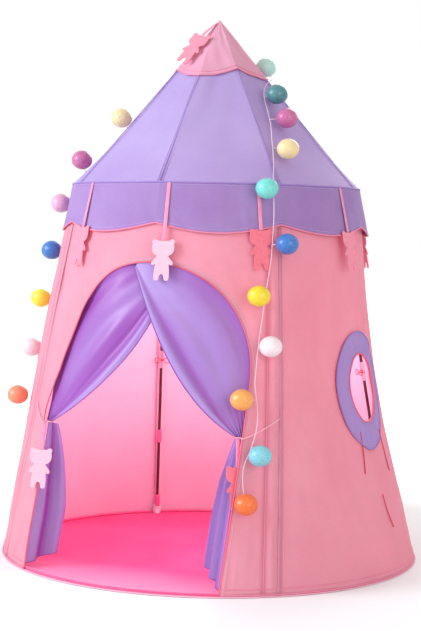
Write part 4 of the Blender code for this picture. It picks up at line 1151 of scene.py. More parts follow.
@dataclass
class Wall:
    """Four wall panels with their hems, piping and the sleeves' seams over the poles."""

    door: Door
    foot: float = 0.0033
    top: float = 0.9283
    seam: float = 0.024
    thickness: float = 0.0011
    window_angle: float = 88.5
    window_height: float = 0.444
    window_radius: float = 0.083
    ring_width: float = 0.054
    ring_wider: float = 0.010
    ring_drop: float = 0.009
    ring_out: float = 0.0030
    ring_thickness: float = 0.0012
    cut_radius: float = 0.45
    panel_flat: Pair = (0.825, 0.945)
    front_area: float = 0.285
    window_area: float = 0.634
    plain_area: float = 0.656
    ring_flat: Pair = (0.29, 0.29)
    ring_area: float = 0.042
    seam_piping_radius: float = 0.0034
    door_stitch_radius: float = 0.0007
    border_share: float = 0.28
    waves: tuple[float, ...] = (0.31, 0.19, 0.127)
    wave_height: float = 0.0021
    wrinkles: tuple[float, ...] = (0.083, 0.052)
    wrinkle_height: float = 0.0006
    pleat_reach: float = 7.0
    pleat_length: float = 0.040
    pleat_height: float = 0.0013
    hem_waves: tuple[float, ...] = (0.047, 0.031)
    hem_depth: float = 0.0011
    sleeve_folds: tuple[Triple, ...] = ((-0.016, 0.0065, 0.0040), (-0.030, 0.0075, -0.0024))
    gather_place: Pair = (-38.0, 6.0)
    gather_length: float = 0.027
    gather_height: float = 0.0026
    set_back: float = 0.0006
    bear_place: Pair = (-33.0, 9.0)
    bear_levels: Pair = (0.245, 0.16)
    bear_sink: float = 0.0018
    door_piping_radius: float = 0.0019
    door_stitch_inset: float = 0.0075
    seam_stitch_places: Pair = (-0.031, 0.009)
    hem_cords: tuple[Pair, ...] = ((0.0052, 0.0019), (0.0185, 0.0011))
    ring_rows: tuple[tuple[str, int, float, Finish], ...] = (
        ("window_inner_piping", 0, 0.0018, CORAL_PIPING), ("window_outer_piping", -1, 0.0014, LILAC_PIPING),
        ("window_inner_stitches", 3, STITCH_RADIUS, LILAC_STITCH),
        ("window_outer_stitches", -3, STITCH_RADIUS, LILAC_STITCH))

    def lay(self, angle: Array, height: Array) -> tuple[Array, Array]:
        """Cut coordinates of places on the wall, and the level directions from them into the tent."""
        inwards = -FORM.ring(angle + FORM.twist * height / FORM.eave_height, np.ones_like(height), 0.0)
        return np.stack([np.radians(angle) * self.cut_radius, height], axis=-1), inwards

    def from_pole(self, angle: Array) -> Array:
        """Angle from the nearest pole, in degrees."""
        return np.mod(np.asarray(angle) - FORM.first_pole + 45.0, 90.0) - 45.0

    def puff(self, angle: Array, height: Array) -> Array:
        """Soft wrinkles of the wall, in metres outwards.

        Long waves round the tent, a little uneven with height, plus pleats beside each pole that fade
        within a few centimetres, all fading to nothing at the eave and at the floor. Nothing stands
        out under the bear at the left of the door.

        Args:
            angle: Angles from the door's middle, in degrees.
            height: Heights above the ground.

        Returns:
            Distances outside the plain wall.
        """
        around = np.radians(np.asarray(angle)) * self.cut_radius
        arc = np.radians(self.from_pole(angle)) * self.cut_radius
        soft = ripples(around, height, self.waves, 3, 0.55) * self.wave_height
        fine = ripples(around, height, self.wrinkles, 8, 0.9) * self.wrinkle_height
        pleat = bell(self.from_pole(angle), 0.0, self.pleat_reach) * self.pleat_height
        pleat = pleat * np.sin(2 * np.pi * arc / self.pleat_length + 3.0 * height)
        sleeve = sum(size * bell(arc, place, width) for place, width, size in self.sleeve_folds)
        gather = np.sin(2 * np.pi * around / self.gather_length + 9 * height) * self.gather_height
        gather = gather * bell(self.turned(angle), *self.gather_place) * ramp_up(height, 0.26, -0.16)
        fade = ramp_up(height, FORM.eave_height - 0.10, -0.18) * ramp_up(height, 0.006, 0.07)
        hem = ripples(around, height * 0.3, self.hem_waves, 5, 0.2)
        hem = hem * self.hem_depth * bell(height, 0.03, 0.05)
        total = (soft + fine + pleat + sleeve + gather) * fade
        total = total - np.abs(hem) * ramp_up(height, 0.002, 0.02) - self.set_back
        return total - self.under_bear(angle, height) * (np.maximum(total, -self.set_back) + self.set_back)

    @staticmethod
    def turned(angle: Array) -> Array:
        """The same angle between -180 and 180 degrees."""
        return np.mod(np.asarray(angle) + 180.0, 360.0) - 180.0

    def under_bear(self, angle: Array, height: Array) -> Array:
        """Share, 0 to 1, of a place on the wall that lies under the bear at the left of the door."""
        beside = np.minimum(1, 2 * hump(self.turned(angle), *self.bear_place))
        return beside * np.minimum(1, 2 * hump(height, *self.bear_levels))

    def panel(self, name: str, angle: Array, height: Array, closed: bool = False) -> None:
        """One panel over a grid of angles and heights, with painted shade in the groove beside each pole and
        along its seam.

        Args:
            name: The node that it stands for.
            angle: Angle of each point of the grid.
            height: Height of each point of the grid.
            closed: Whether the grid runs all round an opening.
        """
        points = FORM.wall_point(angle, height, self.puff(angle, height))
        uv, inwards = self.lay(angle, height)
        arc = np.radians(self.from_pole(angle)) * self.cut_radius
        # Painted shade: a broad band in the groove before each pole's sleeve, and a narrow line just past the
        # seam piping.
        dark = 0.85 * bell(arc, -0.032, 0.006) + 0.7 * bell(arc, 0.005, 0.004)
        item = cloth_piece(name.replace("wall_panel", "wall_cloth"), points, uv, self.thickness,
                           (WALL_OUTSIDE, WALL_INSIDE), closed, inwards, fold=1 - dark)
        settle(item, "tent", (name,))

    def border(self, middle: float, count: int) -> tuple[Array, Array]:
        """Angles and heights round a panel from its lower left corner over its top to its lower right one."""
        half = 45 - self.seam
        side = int(count * self.border_share)
        rise = self.foot + (self.top - self.foot) * np.linspace(0, 1, side, endpoint=False)
        across = np.linspace(-half, half, count - 2 * side)
        angle = np.concatenate([np.full(side, -half), across, np.full(side, half)]) + middle
        height = np.concatenate([rise, np.full(len(across), self.top), rise[::-1]])
        return angle, height

    def front(self) -> None:
        """Front panel: a loft between the door's outline and the panel's border."""
        count = 260
        along, inner_height = self.door.outline(count, self.foot)
        inner_angle = FORM.wall_angle(along, inner_height)
        angle, height = self.border(0.0, count)
        share = np.linspace(0, 1, 60)[:, None]
        self.panel("wall_panel_front", inner_angle + (angle - inner_angle) * share,
                   inner_height + (height - inner_height) * share)

    def window_line(self, turn: Array, reach: Array) -> tuple[Array, Array]:
        """Angles and heights this far beyond the window's edge, with the ring's droop and wider left."""
        radius = self.window_radius + reach
        share = reach / self.ring_width
        height = self.window_height + radius * np.sin(turn)
        height = height - self.ring_drop * share * np.maximum(0, -np.sin(turn)) ** 3
        along = radius * np.cos(turn) - self.ring_wider * share * np.maximum(0, -np.cos(turn))
        return self.window_angle + FORM.wall_angle(along, height), height

    def side_panel(self) -> None:
        """Panel with the round window: a loft between the window's edge and the panel's border."""
        middle = FORM.first_pole + 45
        angle, height = self.border(middle, 240)
        foot = np.linspace(angle[-1], angle[0], 82)[1:-1]
        angle, height = np.concatenate([angle, foot]), np.concatenate([height, np.full(80, self.foot)])
        along = np.radians(angle - self.window_angle) * FORM.floor_radius * 0.85
        turn = np.arctan2(height - self.window_height, along)
        inner_angle, inner_height = self.window_line(turn, np.zeros_like(turn))
        share = (np.linspace(0, 1, 56) ** 1.15)[:, None]
        self.panel("wall_panel_window", inner_angle + (angle - inner_angle) * share,
                   inner_height + (height - inner_height) * share,
                   closed=True)

    def plain(self, name: str, first: float) -> None:
        """Panel with no opening."""
        across = np.linspace(first + self.seam, first + 90 - self.seam, 110)
        height, angle = np.meshgrid(np.linspace(self.foot, self.top, 130), across, indexing="ij")
        self.panel(name, angle, height)

    def window_trim(self) -> None:
        """Ring of cloth round the window, its outer edge cut a little unevenly, with piping on both edges."""
        turn = np.linspace(2 * np.pi, 0, 160, endpoint=False)[None, :]
        uneven = 1 + 0.022 * np.sin(3 * turn[0] + 1.0) + 0.014 * np.sin(7 * turn[0])
        share = np.linspace(-0.012, 1, 20)[:, None]
        angle, height = self.window_line(turn, share * self.ring_width * uneven[None, :])
        soft = ripples(turn * 0.13, share * 0.05, (0.05, 0.031), 12) * 0.0005
        soft = soft * np.sin(np.pi * np.clip(share, 0, 1))
        out = self.ring_out + soft + np.maximum(self.puff(angle, height), -0.0004)
        points = FORM.wall_point(angle, height, out)
        uv, inwards = self.lay(angle, height)
        item = cloth_piece("window_ring", points, uv, self.ring_thickness, (TRIM_CLOTH,), True, inwards)
        settle(item, "tent", ("window_trim",))
        for name, row, radius, finish in self.ring_rows:
            line = points[row] + FORM.ring(angle[row], HEM_LIFT, 0.0)
            edging("valance", name, line, radius, finish, closed=True)

    def piping(self) -> None:
        """Piping round the door and over the seams, the hem's cord and its stitched band."""
        along, height = self.door.outline(300, self.foot)
        angle = FORM.wall_angle(along, height)
        sunk = self.bear_sink * self.under_bear(angle, height)
        line = FORM.wall_point(angle, height, self.puff(angle, height) - self.thickness / 2 - sunk)
        outwards = unit(FORM.wall_point(angle, height, 0.01) - FORM.wall_point(angle, height, 0.0))
        edging("wall", "door_piping", line, self.door_piping_radius, CORAL_PIPING, outwards=outwards)
        beside = np.degrees(self.door_stitch_inset / self.cut_radius) * np.where(angle < 0, -1.0, 1.0)
        beside = np.convolve(np.pad(beside, 15, mode="edge"), np.ones(31) / 31, mode="valid")
        off = height + self.door_stitch_inset * ramp_up(height, self.door.spring, self.door.half_width)
        row = FORM.wall_point(angle + beside, off, self.puff(angle + beside, off) + STITCH_LIFT)
        edging("wall", "door_stitches", row, self.door_stitch_radius, PINK_STITCH, sides=6,
               squash=0.6)
        for index in range(4):
            level = np.linspace(self.foot + 0.004, self.top - 0.10, 90)
            for side, aside in enumerate(self.seam_stitch_places):
                turn = math.degrees(aside / self.cut_radius)
                pole = np.full_like(level, FORM.first_pole + 90 * index) + turn
                seam = FORM.wall_point(pole, level, self.puff(pole, level) + STITCH_LIFT)
                name = f"seam_stitches_{2 * index + side + 1}"
                edging("wall", name, seam, STITCH_RADIUS, PINK_STITCH, sides=6, squash=0.6)
            # Painted shade: the seam piping's darker cloth gives the dark line along each seam.
            pole = np.full_like(level, FORM.first_pole + 90 * index)
            seam = FORM.wall_point(pole, level, self.puff(pole, level) + 0.0006)
            edging("wall", f"seam_piping_{index + 1}", seam, self.seam_piping_radius, SEAM_CLOTH,
                   squash=0.55)
        for number, (level, radius) in enumerate(self.hem_cords, start=1):
            edge = math.degrees(self.door.half(np.array(level), Side.RIGHT) / FORM.floor_radius) + 0.4
            turn = np.linspace(edge, 360 - edge, 520)
            height = np.full_like(turn, level)
            hem = FORM.wall_point(turn, height, self.puff(turn, height) + 0.0005)
            edging("wall", f"hem_cord_{number}", hem, radius, PINK_PIPING)

    def build(self) -> None:
        """Builds the wall."""
        self.front()
        self.side_panel()
        self.plain("wall_panel_back", FORM.first_pole + 90)
        self.plain("wall_panel_left", FORM.first_pole + 180)
        self.window_trim()
        self.piping()


# Roof, cap, valance and floor sheet


@dataclass
class Roof:
    """Roof cover, cap and valance, with their piping and seams."""

    thickness: float = 0.0011
    top_radius: float = 0.010
    cap_depth: float = 0.152
    cap_scallop: float = 0.020
    valance_depth: float = 0.115
    valance_scallop: float = 0.022
    valance_stand: float = 0.003
    valance_top_drop: float = 0.0024
    valance_room: float = 0.0029
    valance_thickness: float = 0.0010
    cover_flat: Pair = (2.29, 0.54)
    cover_area: float = 0.62
    cap_flat: Pair = (0.84, 0.20)
    cap_area: float = 0.077
    valance_flat: Pair = (2.42, 0.115)
    valance_area: float = 0.25
    seam_radius: float = 0.0016
    eave_piping_radius: float = 0.0017
    valance_piping_radius: float = 0.0019
    cut_radius: float = 0.2
    cap_cut_radius: float = 0.09
    valance_cut_radius: float = 0.38
    creases: tuple[float, ...] = (0.23, 0.14, 0.09)
    crease_height: float = 0.0014
    puckers: tuple[float, ...] = (0.036, 0.023)
    pucker_depth: float = 0.0007
    ridge_height: float = 0.0007
    ridge_reach: float = 1.6
    set_back: float = 0.0012
    stitch_aside: float = 0.006
    cap_waves: tuple[float, ...] = (0.07, 0.045)
    cap_wave_height: float = 0.0007
    cap_hems: tuple[tuple[int, float], ...] = ((0, 0.0015), (3, 0.0007))
    folds: tuple[float, ...] = (0.165, 0.098, 0.061)
    fold_height: float = 0.0016
    fold_limits: Pair = (-0.0006, 0.0008)

    def slope_normal(self, angle: Array) -> Array:
        """Outward normals of the roof at these angles."""
        return FORM.ring(angle, math.sin(FORM.slope), math.cos(FORM.slope))

    def cover(self) -> None:
        """Roof cover: the eight-sided cone, drawn in between its ridges and softly creased."""
        top = FORM.height - FORM.roof_drop
        low, high = FORM.eave_height - FORM.eave_drop, top - self.top_radius * math.tan(FORM.slope)
        turn = whole_turn(384) + FORM.twist
        share, angle = np.meshgrid(np.linspace(0, 1, 70), turn, indexing="ij")
        height = low + (high - low) * share
        radius = FORM.roof_radius(angle, height, top)
        half = FORM.ridge_spacing / 2
        from_ridge = np.mod(angle - FORM.twist + half, FORM.ridge_spacing) - half
        ridge = bell(from_ridge, 0.0, self.ridge_reach) * self.ridge_height * np.clip(share * 6, 0, 1)
        soft = ripples(np.radians(angle) * 0.25, share * 0.3, self.creases, 31, 0.7) * self.crease_height
        pucker = ripples(np.radians(angle) * FORM.eave_radius, share * 0.02, self.puckers, 33)
        pucker = pucker * self.pucker_depth * np.exp(-share / 0.07)
        out = soft * np.sin(np.pi * np.clip(share * 1.1, 0, 1)) - np.abs(pucker) + ridge - self.set_back
        points = FORM.ring(angle, radius, height) + self.slope_normal(angle) * out[..., None]
        uv = np.stack([np.radians(angle) * self.cut_radius, share * self.cover_flat[1]], axis=-1)
        item = cloth_piece("roof_cloth", points, uv, self.thickness, (ROOF_CLOTH,), True,
                           -self.slope_normal(angle), 2 * np.pi * self.cut_radius)
        settle(item, "tent", ("roof_cover",))
        for index in range(8):
            self.ridge_seam(index, np.linspace(low + 0.004, high - 0.02, 80), top)
        turn = whole_turn(400)
        edge = FORM.ring(turn, FORM.eave_radius + FORM.roof_overhang - 0.0006, low + 0.0004)
        edging("roof", "eave_piping", edge, self.eave_piping_radius, LILAC_PIPING, closed=True)

    def ridge_seam(self, index: int, level: Array, top: float) -> None:
        """The flat piping on one ridge of the roof at these heights, with a row of stitches on each side."""
        turn = np.full_like(level, FORM.twist + FORM.ridge_spacing * index)
        outwards = self.slope_normal(turn)
        line = FORM.ring(turn, FORM.roof_radius(turn, level, top), level) + outwards * SEAM_LIFT
        edging("roof", f"roof_seam_{index + 1}", line, self.seam_radius, LILAC_PIPING, squash=0.5,
               outwards=outwards)
        for side, aside in enumerate((-self.stitch_aside, self.stitch_aside)):
            wide = turn + np.degrees(aside / np.maximum(0.02, (top - level) / math.tan(FORM.slope)))
            row = FORM.ring(wide, FORM.roof_radius(wide, level, top), level) - outwards * HEM_LIFT
            edging("roof", f"roof_stitches_{2 * index + side + 1}", row[:70], STITCH_RADIUS, LILAC_STITCH,
                   sides=6, outwards=outwards[:70])

    def cap(self) -> None:
        """Cap over the roof's top: the same cone a little higher, with a scalloped hem."""
        turn = whole_turn(240) + FORM.twist
        scallop = 1 - np.abs(np.cos(np.radians(2 * (turn - FORM.twist))))
        edge = FORM.height - self.cap_depth + self.cap_scallop * scallop
        share = np.linspace(0, 1, 48)[:, None]
        height = edge[None, :] + (FORM.height - 0.0010 - edge[None, :]) * share
        angle = np.broadcast_to(turn, height.shape)
        soft = ripples(np.radians(angle) * 0.12, height, self.cap_waves, 44, 0.8) * self.cap_wave_height
        soft = soft * np.clip((1 - share) * 3, 0, 1)
        points = FORM.ring(angle, FORM.roof_radius(angle, height, FORM.height), height)
        points = points + self.slope_normal(angle) * (soft - 0.0004)[..., None]
        uv = np.stack([np.radians(angle) * self.cap_cut_radius, height / math.sin(FORM.slope)], axis=-1)
        item = cloth_piece("cap_cloth", points, uv, self.thickness, (CAP_CLOTH,), True,
                           -self.slope_normal(angle), 2 * np.pi * self.cap_cut_radius)
        settle(item, "tent", ("roof_cap",))
        for number, (row, radius) in enumerate(self.cap_hems, start=1):
            line = points[row] + self.slope_normal(turn) * HEM_LIFT
            edging("cap", f"cap_hem_{number}", line, radius, PINK_PIPING, closed=True)

    def valance_drop(self, angle: Array) -> Array:
        """Depth of the valance: less at each of the eight seams, by a sine between them."""
        between = np.sin(np.pi * (np.mod(angle - FORM.twist, FORM.ridge_spacing) / FORM.ridge_spacing))
        return self.valance_depth - self.valance_scallop * (1 - between)

    def valance_point(self, angle: Array, drop: Array, out: Array = 0.0) -> Array:
        """Points on the valance, this far below its top."""
        lean = FORM.lean + self.valance_stand / self.valance_depth
        radius = FORM.eave_radius + self.valance_room + lean * drop + out
        return FORM.ring(angle, radius, FORM.eave_height - self.valance_top_drop - drop)

    def valance(self) -> None:
        """Valance: hangs from the eave with shallow folds that grow towards its hem."""
        turn = whole_turn(480) + FORM.twist
        share = np.linspace(1, 0, 30)[:, None]
        drop = self.valance_drop(turn)[None, :] * share
        angle = np.broadcast_to(turn, drop.shape)
        around = np.radians(angle) * self.valance_cut_radius
        folds = ripples(around, drop, self.folds, 52, 0.35) * self.fold_height * share
        out = np.clip(folds, *self.fold_limits) - 0.0002
        points = self.valance_point(angle, drop, out)
        uv = np.stack([around, drop], axis=-1)
        inwards = -FORM.ring(angle, np.ones_like(drop), 0.0)
        item = cloth_piece("valance_cloth", points, uv, self.valance_thickness, (VALANCE_CLOTH,), True,
                           inwards, 2 * np.pi * self.valance_cut_radius)
        settle(item, "tent", ("valance",))
        edging("valance", "valance_piping", points[0], self.valance_piping_radius, PINK_PIPING,
               closed=True)
        for number, row in enumerate((2, -2), start=1):
            line = points[row] + FORM.ring(turn, SEAM_LIFT, 0.0)
            edging("valance", f"valance_stitches_{number}", line, STITCH_RADIUS, LILAC_STITCH,
                   closed=True, sides=6)

    def build(self) -> None:
        """Builds the roof."""
        self.cover()
        self.cap()
        self.valance()


@dataclass
class FloorSheet:
    """The round floor sheet, its binding, and the cloth sleeve of the ring that spreads it."""

    radius: float = 0.527
    thickness: float = 0.003
    flat_until: float = 0.47
    # How far back from the front edge the painted sheen fades out.
    painted_sheen_reach: float = 0.240
    cloth: float = 0.0020
    flat: Pair = (1.054, 1.054)
    area: float = 0.872
    creases: tuple[float, ...] = (0.41, 0.27, 0.16)
    crease_height: float = 0.0022
    calm_reach: float = 0.10
    binding_radius: float = 0.0015
    binding_height: float = 0.0016

    def build(self) -> None:
        """A disc with shallow creases inside the ring, flat below."""
        share, turn = np.meshgrid(np.linspace(0.004, 1, 90), whole_turn(300, 2 * np.pi),
                                  indexing="ij")
        radius = share * (self.radius - 0.0012)
        x, y = radius * np.sin(turn), -radius * np.cos(turn)
        crease = ripples(x, y, self.creases, 61, 3.0) * 0.5 + 0.5
        calm = ramp_up(radius, self.flat_until, -self.calm_reach)
        height = self.thickness - 0.0005 + self.crease_height * np.clip(crease, 0, 1) * calm
        points = np.stack([x, y, height], axis=-1)
        # Painted sheen: the fold attribute rises from zero at the front edge, so the floor sheet is paler
        # towards its front.
        item = cloth_piece("floor_cloth", points, np.stack([x, y], axis=-1), self.cloth, (MAT_CLOTH,), True,
                           np.broadcast_to(-UP, points.shape), fold=(y + self.radius) / self.painted_sheen_reach)
        settle(item, "tent", ("floor_mat",))
        turn = whole_turn(520)
        edge = FORM.ring(turn, self.radius - self.binding_radius, self.binding_height)
        edging("mat", "floor_binding", edge, self.binding_radius, MAT_EDGE, closed=True, sides=10)
        dress("base_hoop", RING_SLEEVE)


# Curtains


@dataclass
class Curtains:
    """The two door curtains, gathered at their necks, and the tails below their tie-backs."""

    door: Door
    neck_thickness: float = 0.011
    neck_room: float = 0.0021
    overlap: float = 0.045
    cover: float = 0.010
    depth: float = 0.0022
    fold: float = 0.0075
    lift: float = 0.0085
    left_swag: Pair = (0.0, 0.445)
    right_swag: Pair = (0.089, 0.437)
    tail_depth: float = 0.0133
    tail_room: Pair = (0.0014, 0.0020)
    tail_foot: tuple[Pair, ...] = ((0.012, 0.0070), (-0.002, 0.0133))
    tail_width: Pair = (0.095, 0.080)
    tail_turn: Pair = (98.0, 72.0)
    tail_rise: Pair = (0.020, 0.045)
    tail_fold: float = 0.009
    ground_gap: float = 0.013
    folds: tuple[tuple[float, ...], ...] = ((3, 1.0, 0.53, 0.33), (2, 0.7, 0.78, 0.22))
    edge_folds: tuple[Triple, ...] = ((0.94, 0.075, 0.0055), (0.83, 0.06, -0.0030))
    creases: tuple[float, ...] = (0.075, 0.043)
    crease_height: float = 0.0008
    inner_limits: Pair = (-0.0055, -0.0006)
    left_light: tuple[float, ...] = (0.52, 0.28, 0.02, 0.46)
    right_light: tuple[float, ...] = (0.55, 0.55, 0.25, 0.62)
    cloth: float = 0.0011
    neck_pleats: int = 7
    flat: Pair = (0.30, 0.40)
    area: float = 0.075
    tail_flat: Pair = (0.12, 0.34)
    tail_area: float = 0.036
    cut: Pair = (0.33, 0.42)
    hem_radius: float = 0.0014
    tail_cloth: float = 0.0012
    tail_gather: Pair = (0.0026, 0.05)
    tail_cut: Pair = (0.16, 0.34)
    tail_waves: Pair = (1.5, 2.5)
    tail_light: Pair = (0.6, 2.4)
    tail_creases: Pair = (0.031, 0.017)
    tail_hem_radius: float = 0.0011

    def middle(self, side: Side, across: Array, down: Array) -> Array:
        """Middle surface of a curtain.

        Across runs from the arch's edge to the leading edge, a quadratic curve from the top through the
        swag to the neck; down runs from the top to the neck. Cosine folds deepen in the middle.

        Args:
            side: The side of the door.
            across: Shares from the arch's edge to the leading edge.
            down: Shares from the top to the neck.

        Returns:
            Points halfway through the cloth.
        """
        sign = side.value
        swag = self.right_swag if side is Side.RIGHT else self.left_swag
        end = (sign * (float(self.door.half(np.array(NECK.height), side)) - NECK.inset),
               NECK.height + self.neck_room)
        top_along = -sign * self.overlap + (0.5 * self.overlap if side is Side.LEFT else 0.0)
        top_height = self.door.spring + math.sqrt(self.door.half_width ** 2 - top_along ** 2) + self.cover
        last = (end[0] - sign * NECK.half_width, end[1])
        lead = [(1 - down) ** 2 * a + 2 * down * (1 - down) * b + down ** 2 * c
                for a, b, c in zip((top_along, top_height), swag, last)]
        arch_from = math.atan2(top_height - self.door.spring, sign * top_along)
        radius = self.door.half_width + self.cover
        arch, drop = radius * arch_from, self.door.spring - end[1]
        reach = down * (arch + drop)
        turn = arch_from - reach / radius
        share = np.clip((reach - arch) / drop, 0, 1)
        on_arch = reach < arch
        hem_along = np.where(on_arch, sign * radius * np.cos(turn),
                             sign * (radius - (radius - abs(end[0]) - NECK.half_width) * share ** 2))
        hem_height = self.door.spring + np.where(on_arch, radius * np.sin(turn), -drop * share)
        along = hem_along + (lead[0] - hem_along) * across
        height = hem_height + (lead[1] - hem_height) * across
        fold = sum(self.fold * size * (1 - np.cos(2 * np.pi * count * across)) / 2 * hump(down, level, reach)
                   for count, size, level, reach in self.folds)
        crease = ripples(across * 0.22, down * 0.05, self.creases, 70 + sign, 0.3) * self.crease_height
        fold = fold + crease * np.clip(down * 3, 0, 1) * np.clip((1 - down) * 8, 0, 1)
        fade = np.clip((1 - down) * 5, 0, 1) * np.clip(down * 5, 0, 1)
        fold = fold - fade * sum(size * hump(across, place, reach) for place, reach, size in self.edge_folds)
        lift = self.lift * hump(np.minimum(along, 0), 0, 2 * self.overlap) if side is Side.LEFT else 0.0
        inside = np.where(across > 0.75, *self.inner_limits)
        depth = self.depth + FORM.cloth + np.maximum(fold, inside) + lift
        depth = depth + (NECK.depth - depth) * down ** 4
        return FORM.wall_point(FORM.wall_angle(along, height), height, -depth)

    def light(self, side: Side, across: Array, down: Array) -> Array:
        """How much of the satin's own colour shows on a curtain over its painted shade colour.

        Painted light and shade: the satin keeps its own colour on the rolled leading edge and down the
        middle, and takes painted shade towards the arch's edge, in the hollow beside the roll and where the
        folds gather above the neck.

        Args:
            side: The side of the door.
            across: Shares from the arch's edge to the leading edge.
            down: Shares from the top to the neck.

        Returns:
            One where the satin keeps its own colour, zero for full painted shade deep in a fold.
        """
        band, width, body, lit = self.left_light if side is Side.LEFT else self.right_light
        # Painted light and shade: one keeps the satin's own colour, zero gives its painted shade colour.
        top = 0.25 * hump(down, 0.05, 0.35) * np.clip(across * 3, 0, 1)
        bright = body + lit * hump(across, band, width) + top
        roll = hump(across, 0.97, 0.10)
        hollow = hump(across, 0.84, 0.08) * np.clip(down * 3, 0, 1)
        deep = hump(down, 0.88, 0.18) * hump(across, 0.45, 0.5)
        return bright * (1 - 0.6 * hollow) * (1 - 0.7 * deep) + 0.95 * roll

    def curtain(self, side: Side) -> None:
        """One curtain with its hem's rolled edge."""
        down, across = np.meshgrid(np.linspace(0.03, 1, 130), np.linspace(0, 1, 120), indexing="ij")
        middle = self.middle(side, across, down)
        gathered = self.neck_thickness - 0.002
        pleats = np.abs(np.sin(np.pi * self.neck_pleats * across)) * gathered * down ** 9
        normal = grid_normals(middle, False)
        thick = self.cloth + pleats[..., None]
        turn = np.degrees(np.arctan2(middle[..., 0], -middle[..., 1]))
        flip = np.sign((normal * -FORM.ring(turn, 1.0, 0.0)).sum(-1).mean())
        outer = middle - normal * flip * thick / 2
        uv = np.stack([across * self.cut[0], down * self.cut[1]], axis=-1)
        # The curtain's painted light and shade go into the fold attribute.
        item = cloth_piece("curtain_cloth_" + side.word, outer, uv, 1.0, (CURTAIN_SATIN,), False,
                           normal * flip * thick, fold=self.light(side, across, down))
        settle(item, "tent", ("curtain_" + side.word,))
        edging("curtain", "curtain_hem_" + side.word, outer[:, -1], self.hem_radius, CURTAIN_SATIN)

    def hinge(self, side: Side) -> tuple[Array, Array]:
        """Top and bottom of the line that a tail is sewn along."""
        index = 0 if side is Side.LEFT else 1
        ends = []
        for height, (past, depth) in ((NECK.height - self.tail_room[index], (-NECK.inset, self.tail_depth)),
                                      (self.ground_gap, self.tail_foot[index])):
            along = side.value * (float(self.door.half(np.array(height), side)) + past)
            ends.append(FORM.wall_point(FORM.wall_angle(along, height), height, -depth))
        return ends[0], ends[1]

    def tail(self, side: Side) -> None:
        """One tail: pleats that open from the neck and turn into the tent."""
        index = 0 if side is Side.LEFT else 1
        top, bottom = self.hinge(side)
        down, across = np.meshgrid(np.linspace(0, 1, 110), np.linspace(0, 1, 110), indexing="ij")
        start = top + (bottom - top) * down[..., None]
        start = start + UP * (self.tail_rise[index] * across * down)[..., None]
        spread = np.minimum(1.0, 0.25 + 0.86 * np.sin(np.pi / 2 * np.minimum(1, 0.95 * down)) ** 0.8)
        angle = np.arctan2(start[..., 0], -start[..., 1])
        inward = -np.stack([np.sin(angle), -np.cos(angle), np.zeros_like(angle)], axis=-1)
        along = -side.value * np.stack([np.cos(angle), np.sin(angle), np.zeros_like(angle)], axis=-1)
        turn = math.radians(self.tail_turn[index])
        run = along * math.cos(turn) + inward * math.sin(turn)
        lean = unit(top - bottom)
        run = unit(run - lean * (run @ lean)[..., None] * ((1 - down) ** 2)[..., None])
        wave = along * math.sin(turn) - inward * math.cos(turn)
        narrow = 2 * NECK.half_width
        width = narrow + (self.tail_width[index] - narrow) * (spread - 0.25) / 0.75
        waves = 2 * np.pi * self.tail_waves[index] * across
        pleat = self.tail_fold * np.sin(waves) * np.minimum(1, 3 * down) * np.minimum(1, 4 * across)
        crease = ripples(across * 0.1, down * 0.03, self.tail_creases, 90 + index, 0.3) * self.crease_height
        crease = crease * np.minimum(1, 5 * across)
        middle = start + run * (width * across)[..., None] + wave * (pleat + crease)[..., None]
        normal = grid_normals(middle, False)
        gather, reach = self.tail_gather
        thick = self.tail_cloth + gather * np.exp(-down / reach)[..., None]
        uv = np.stack([across * self.tail_cut[0], down * self.tail_cut[1]], axis=-1)
        # Painted light and shade along the pleats: a sine in step with the pleat waves, its phase moved by
        # the tail's light setting.
        item = cloth_piece("tail_cloth_" + side.word, middle - normal * thick / 2, uv, 1.0, (CURTAIN_SATIN,),
                           False, normal * thick, fold=0.5 + 0.5 * np.sin(waves + self.tail_light[index]))
        body = "curtain_tail_" + side.word
        settle(item, body, (body,))
        line = middle[-1]
        settle(tube_piece("tail_hem_" + side.word, line, self.tail_hem_radius, CURTAIN_SATIN,
                          outwards=np.broadcast_to(UP, line.shape)), body)

    def build(self) -> None:
        """Builds curtains and tails."""
        for side in Side:
            self.curtain(side)
            self.tail(side)


# Bears


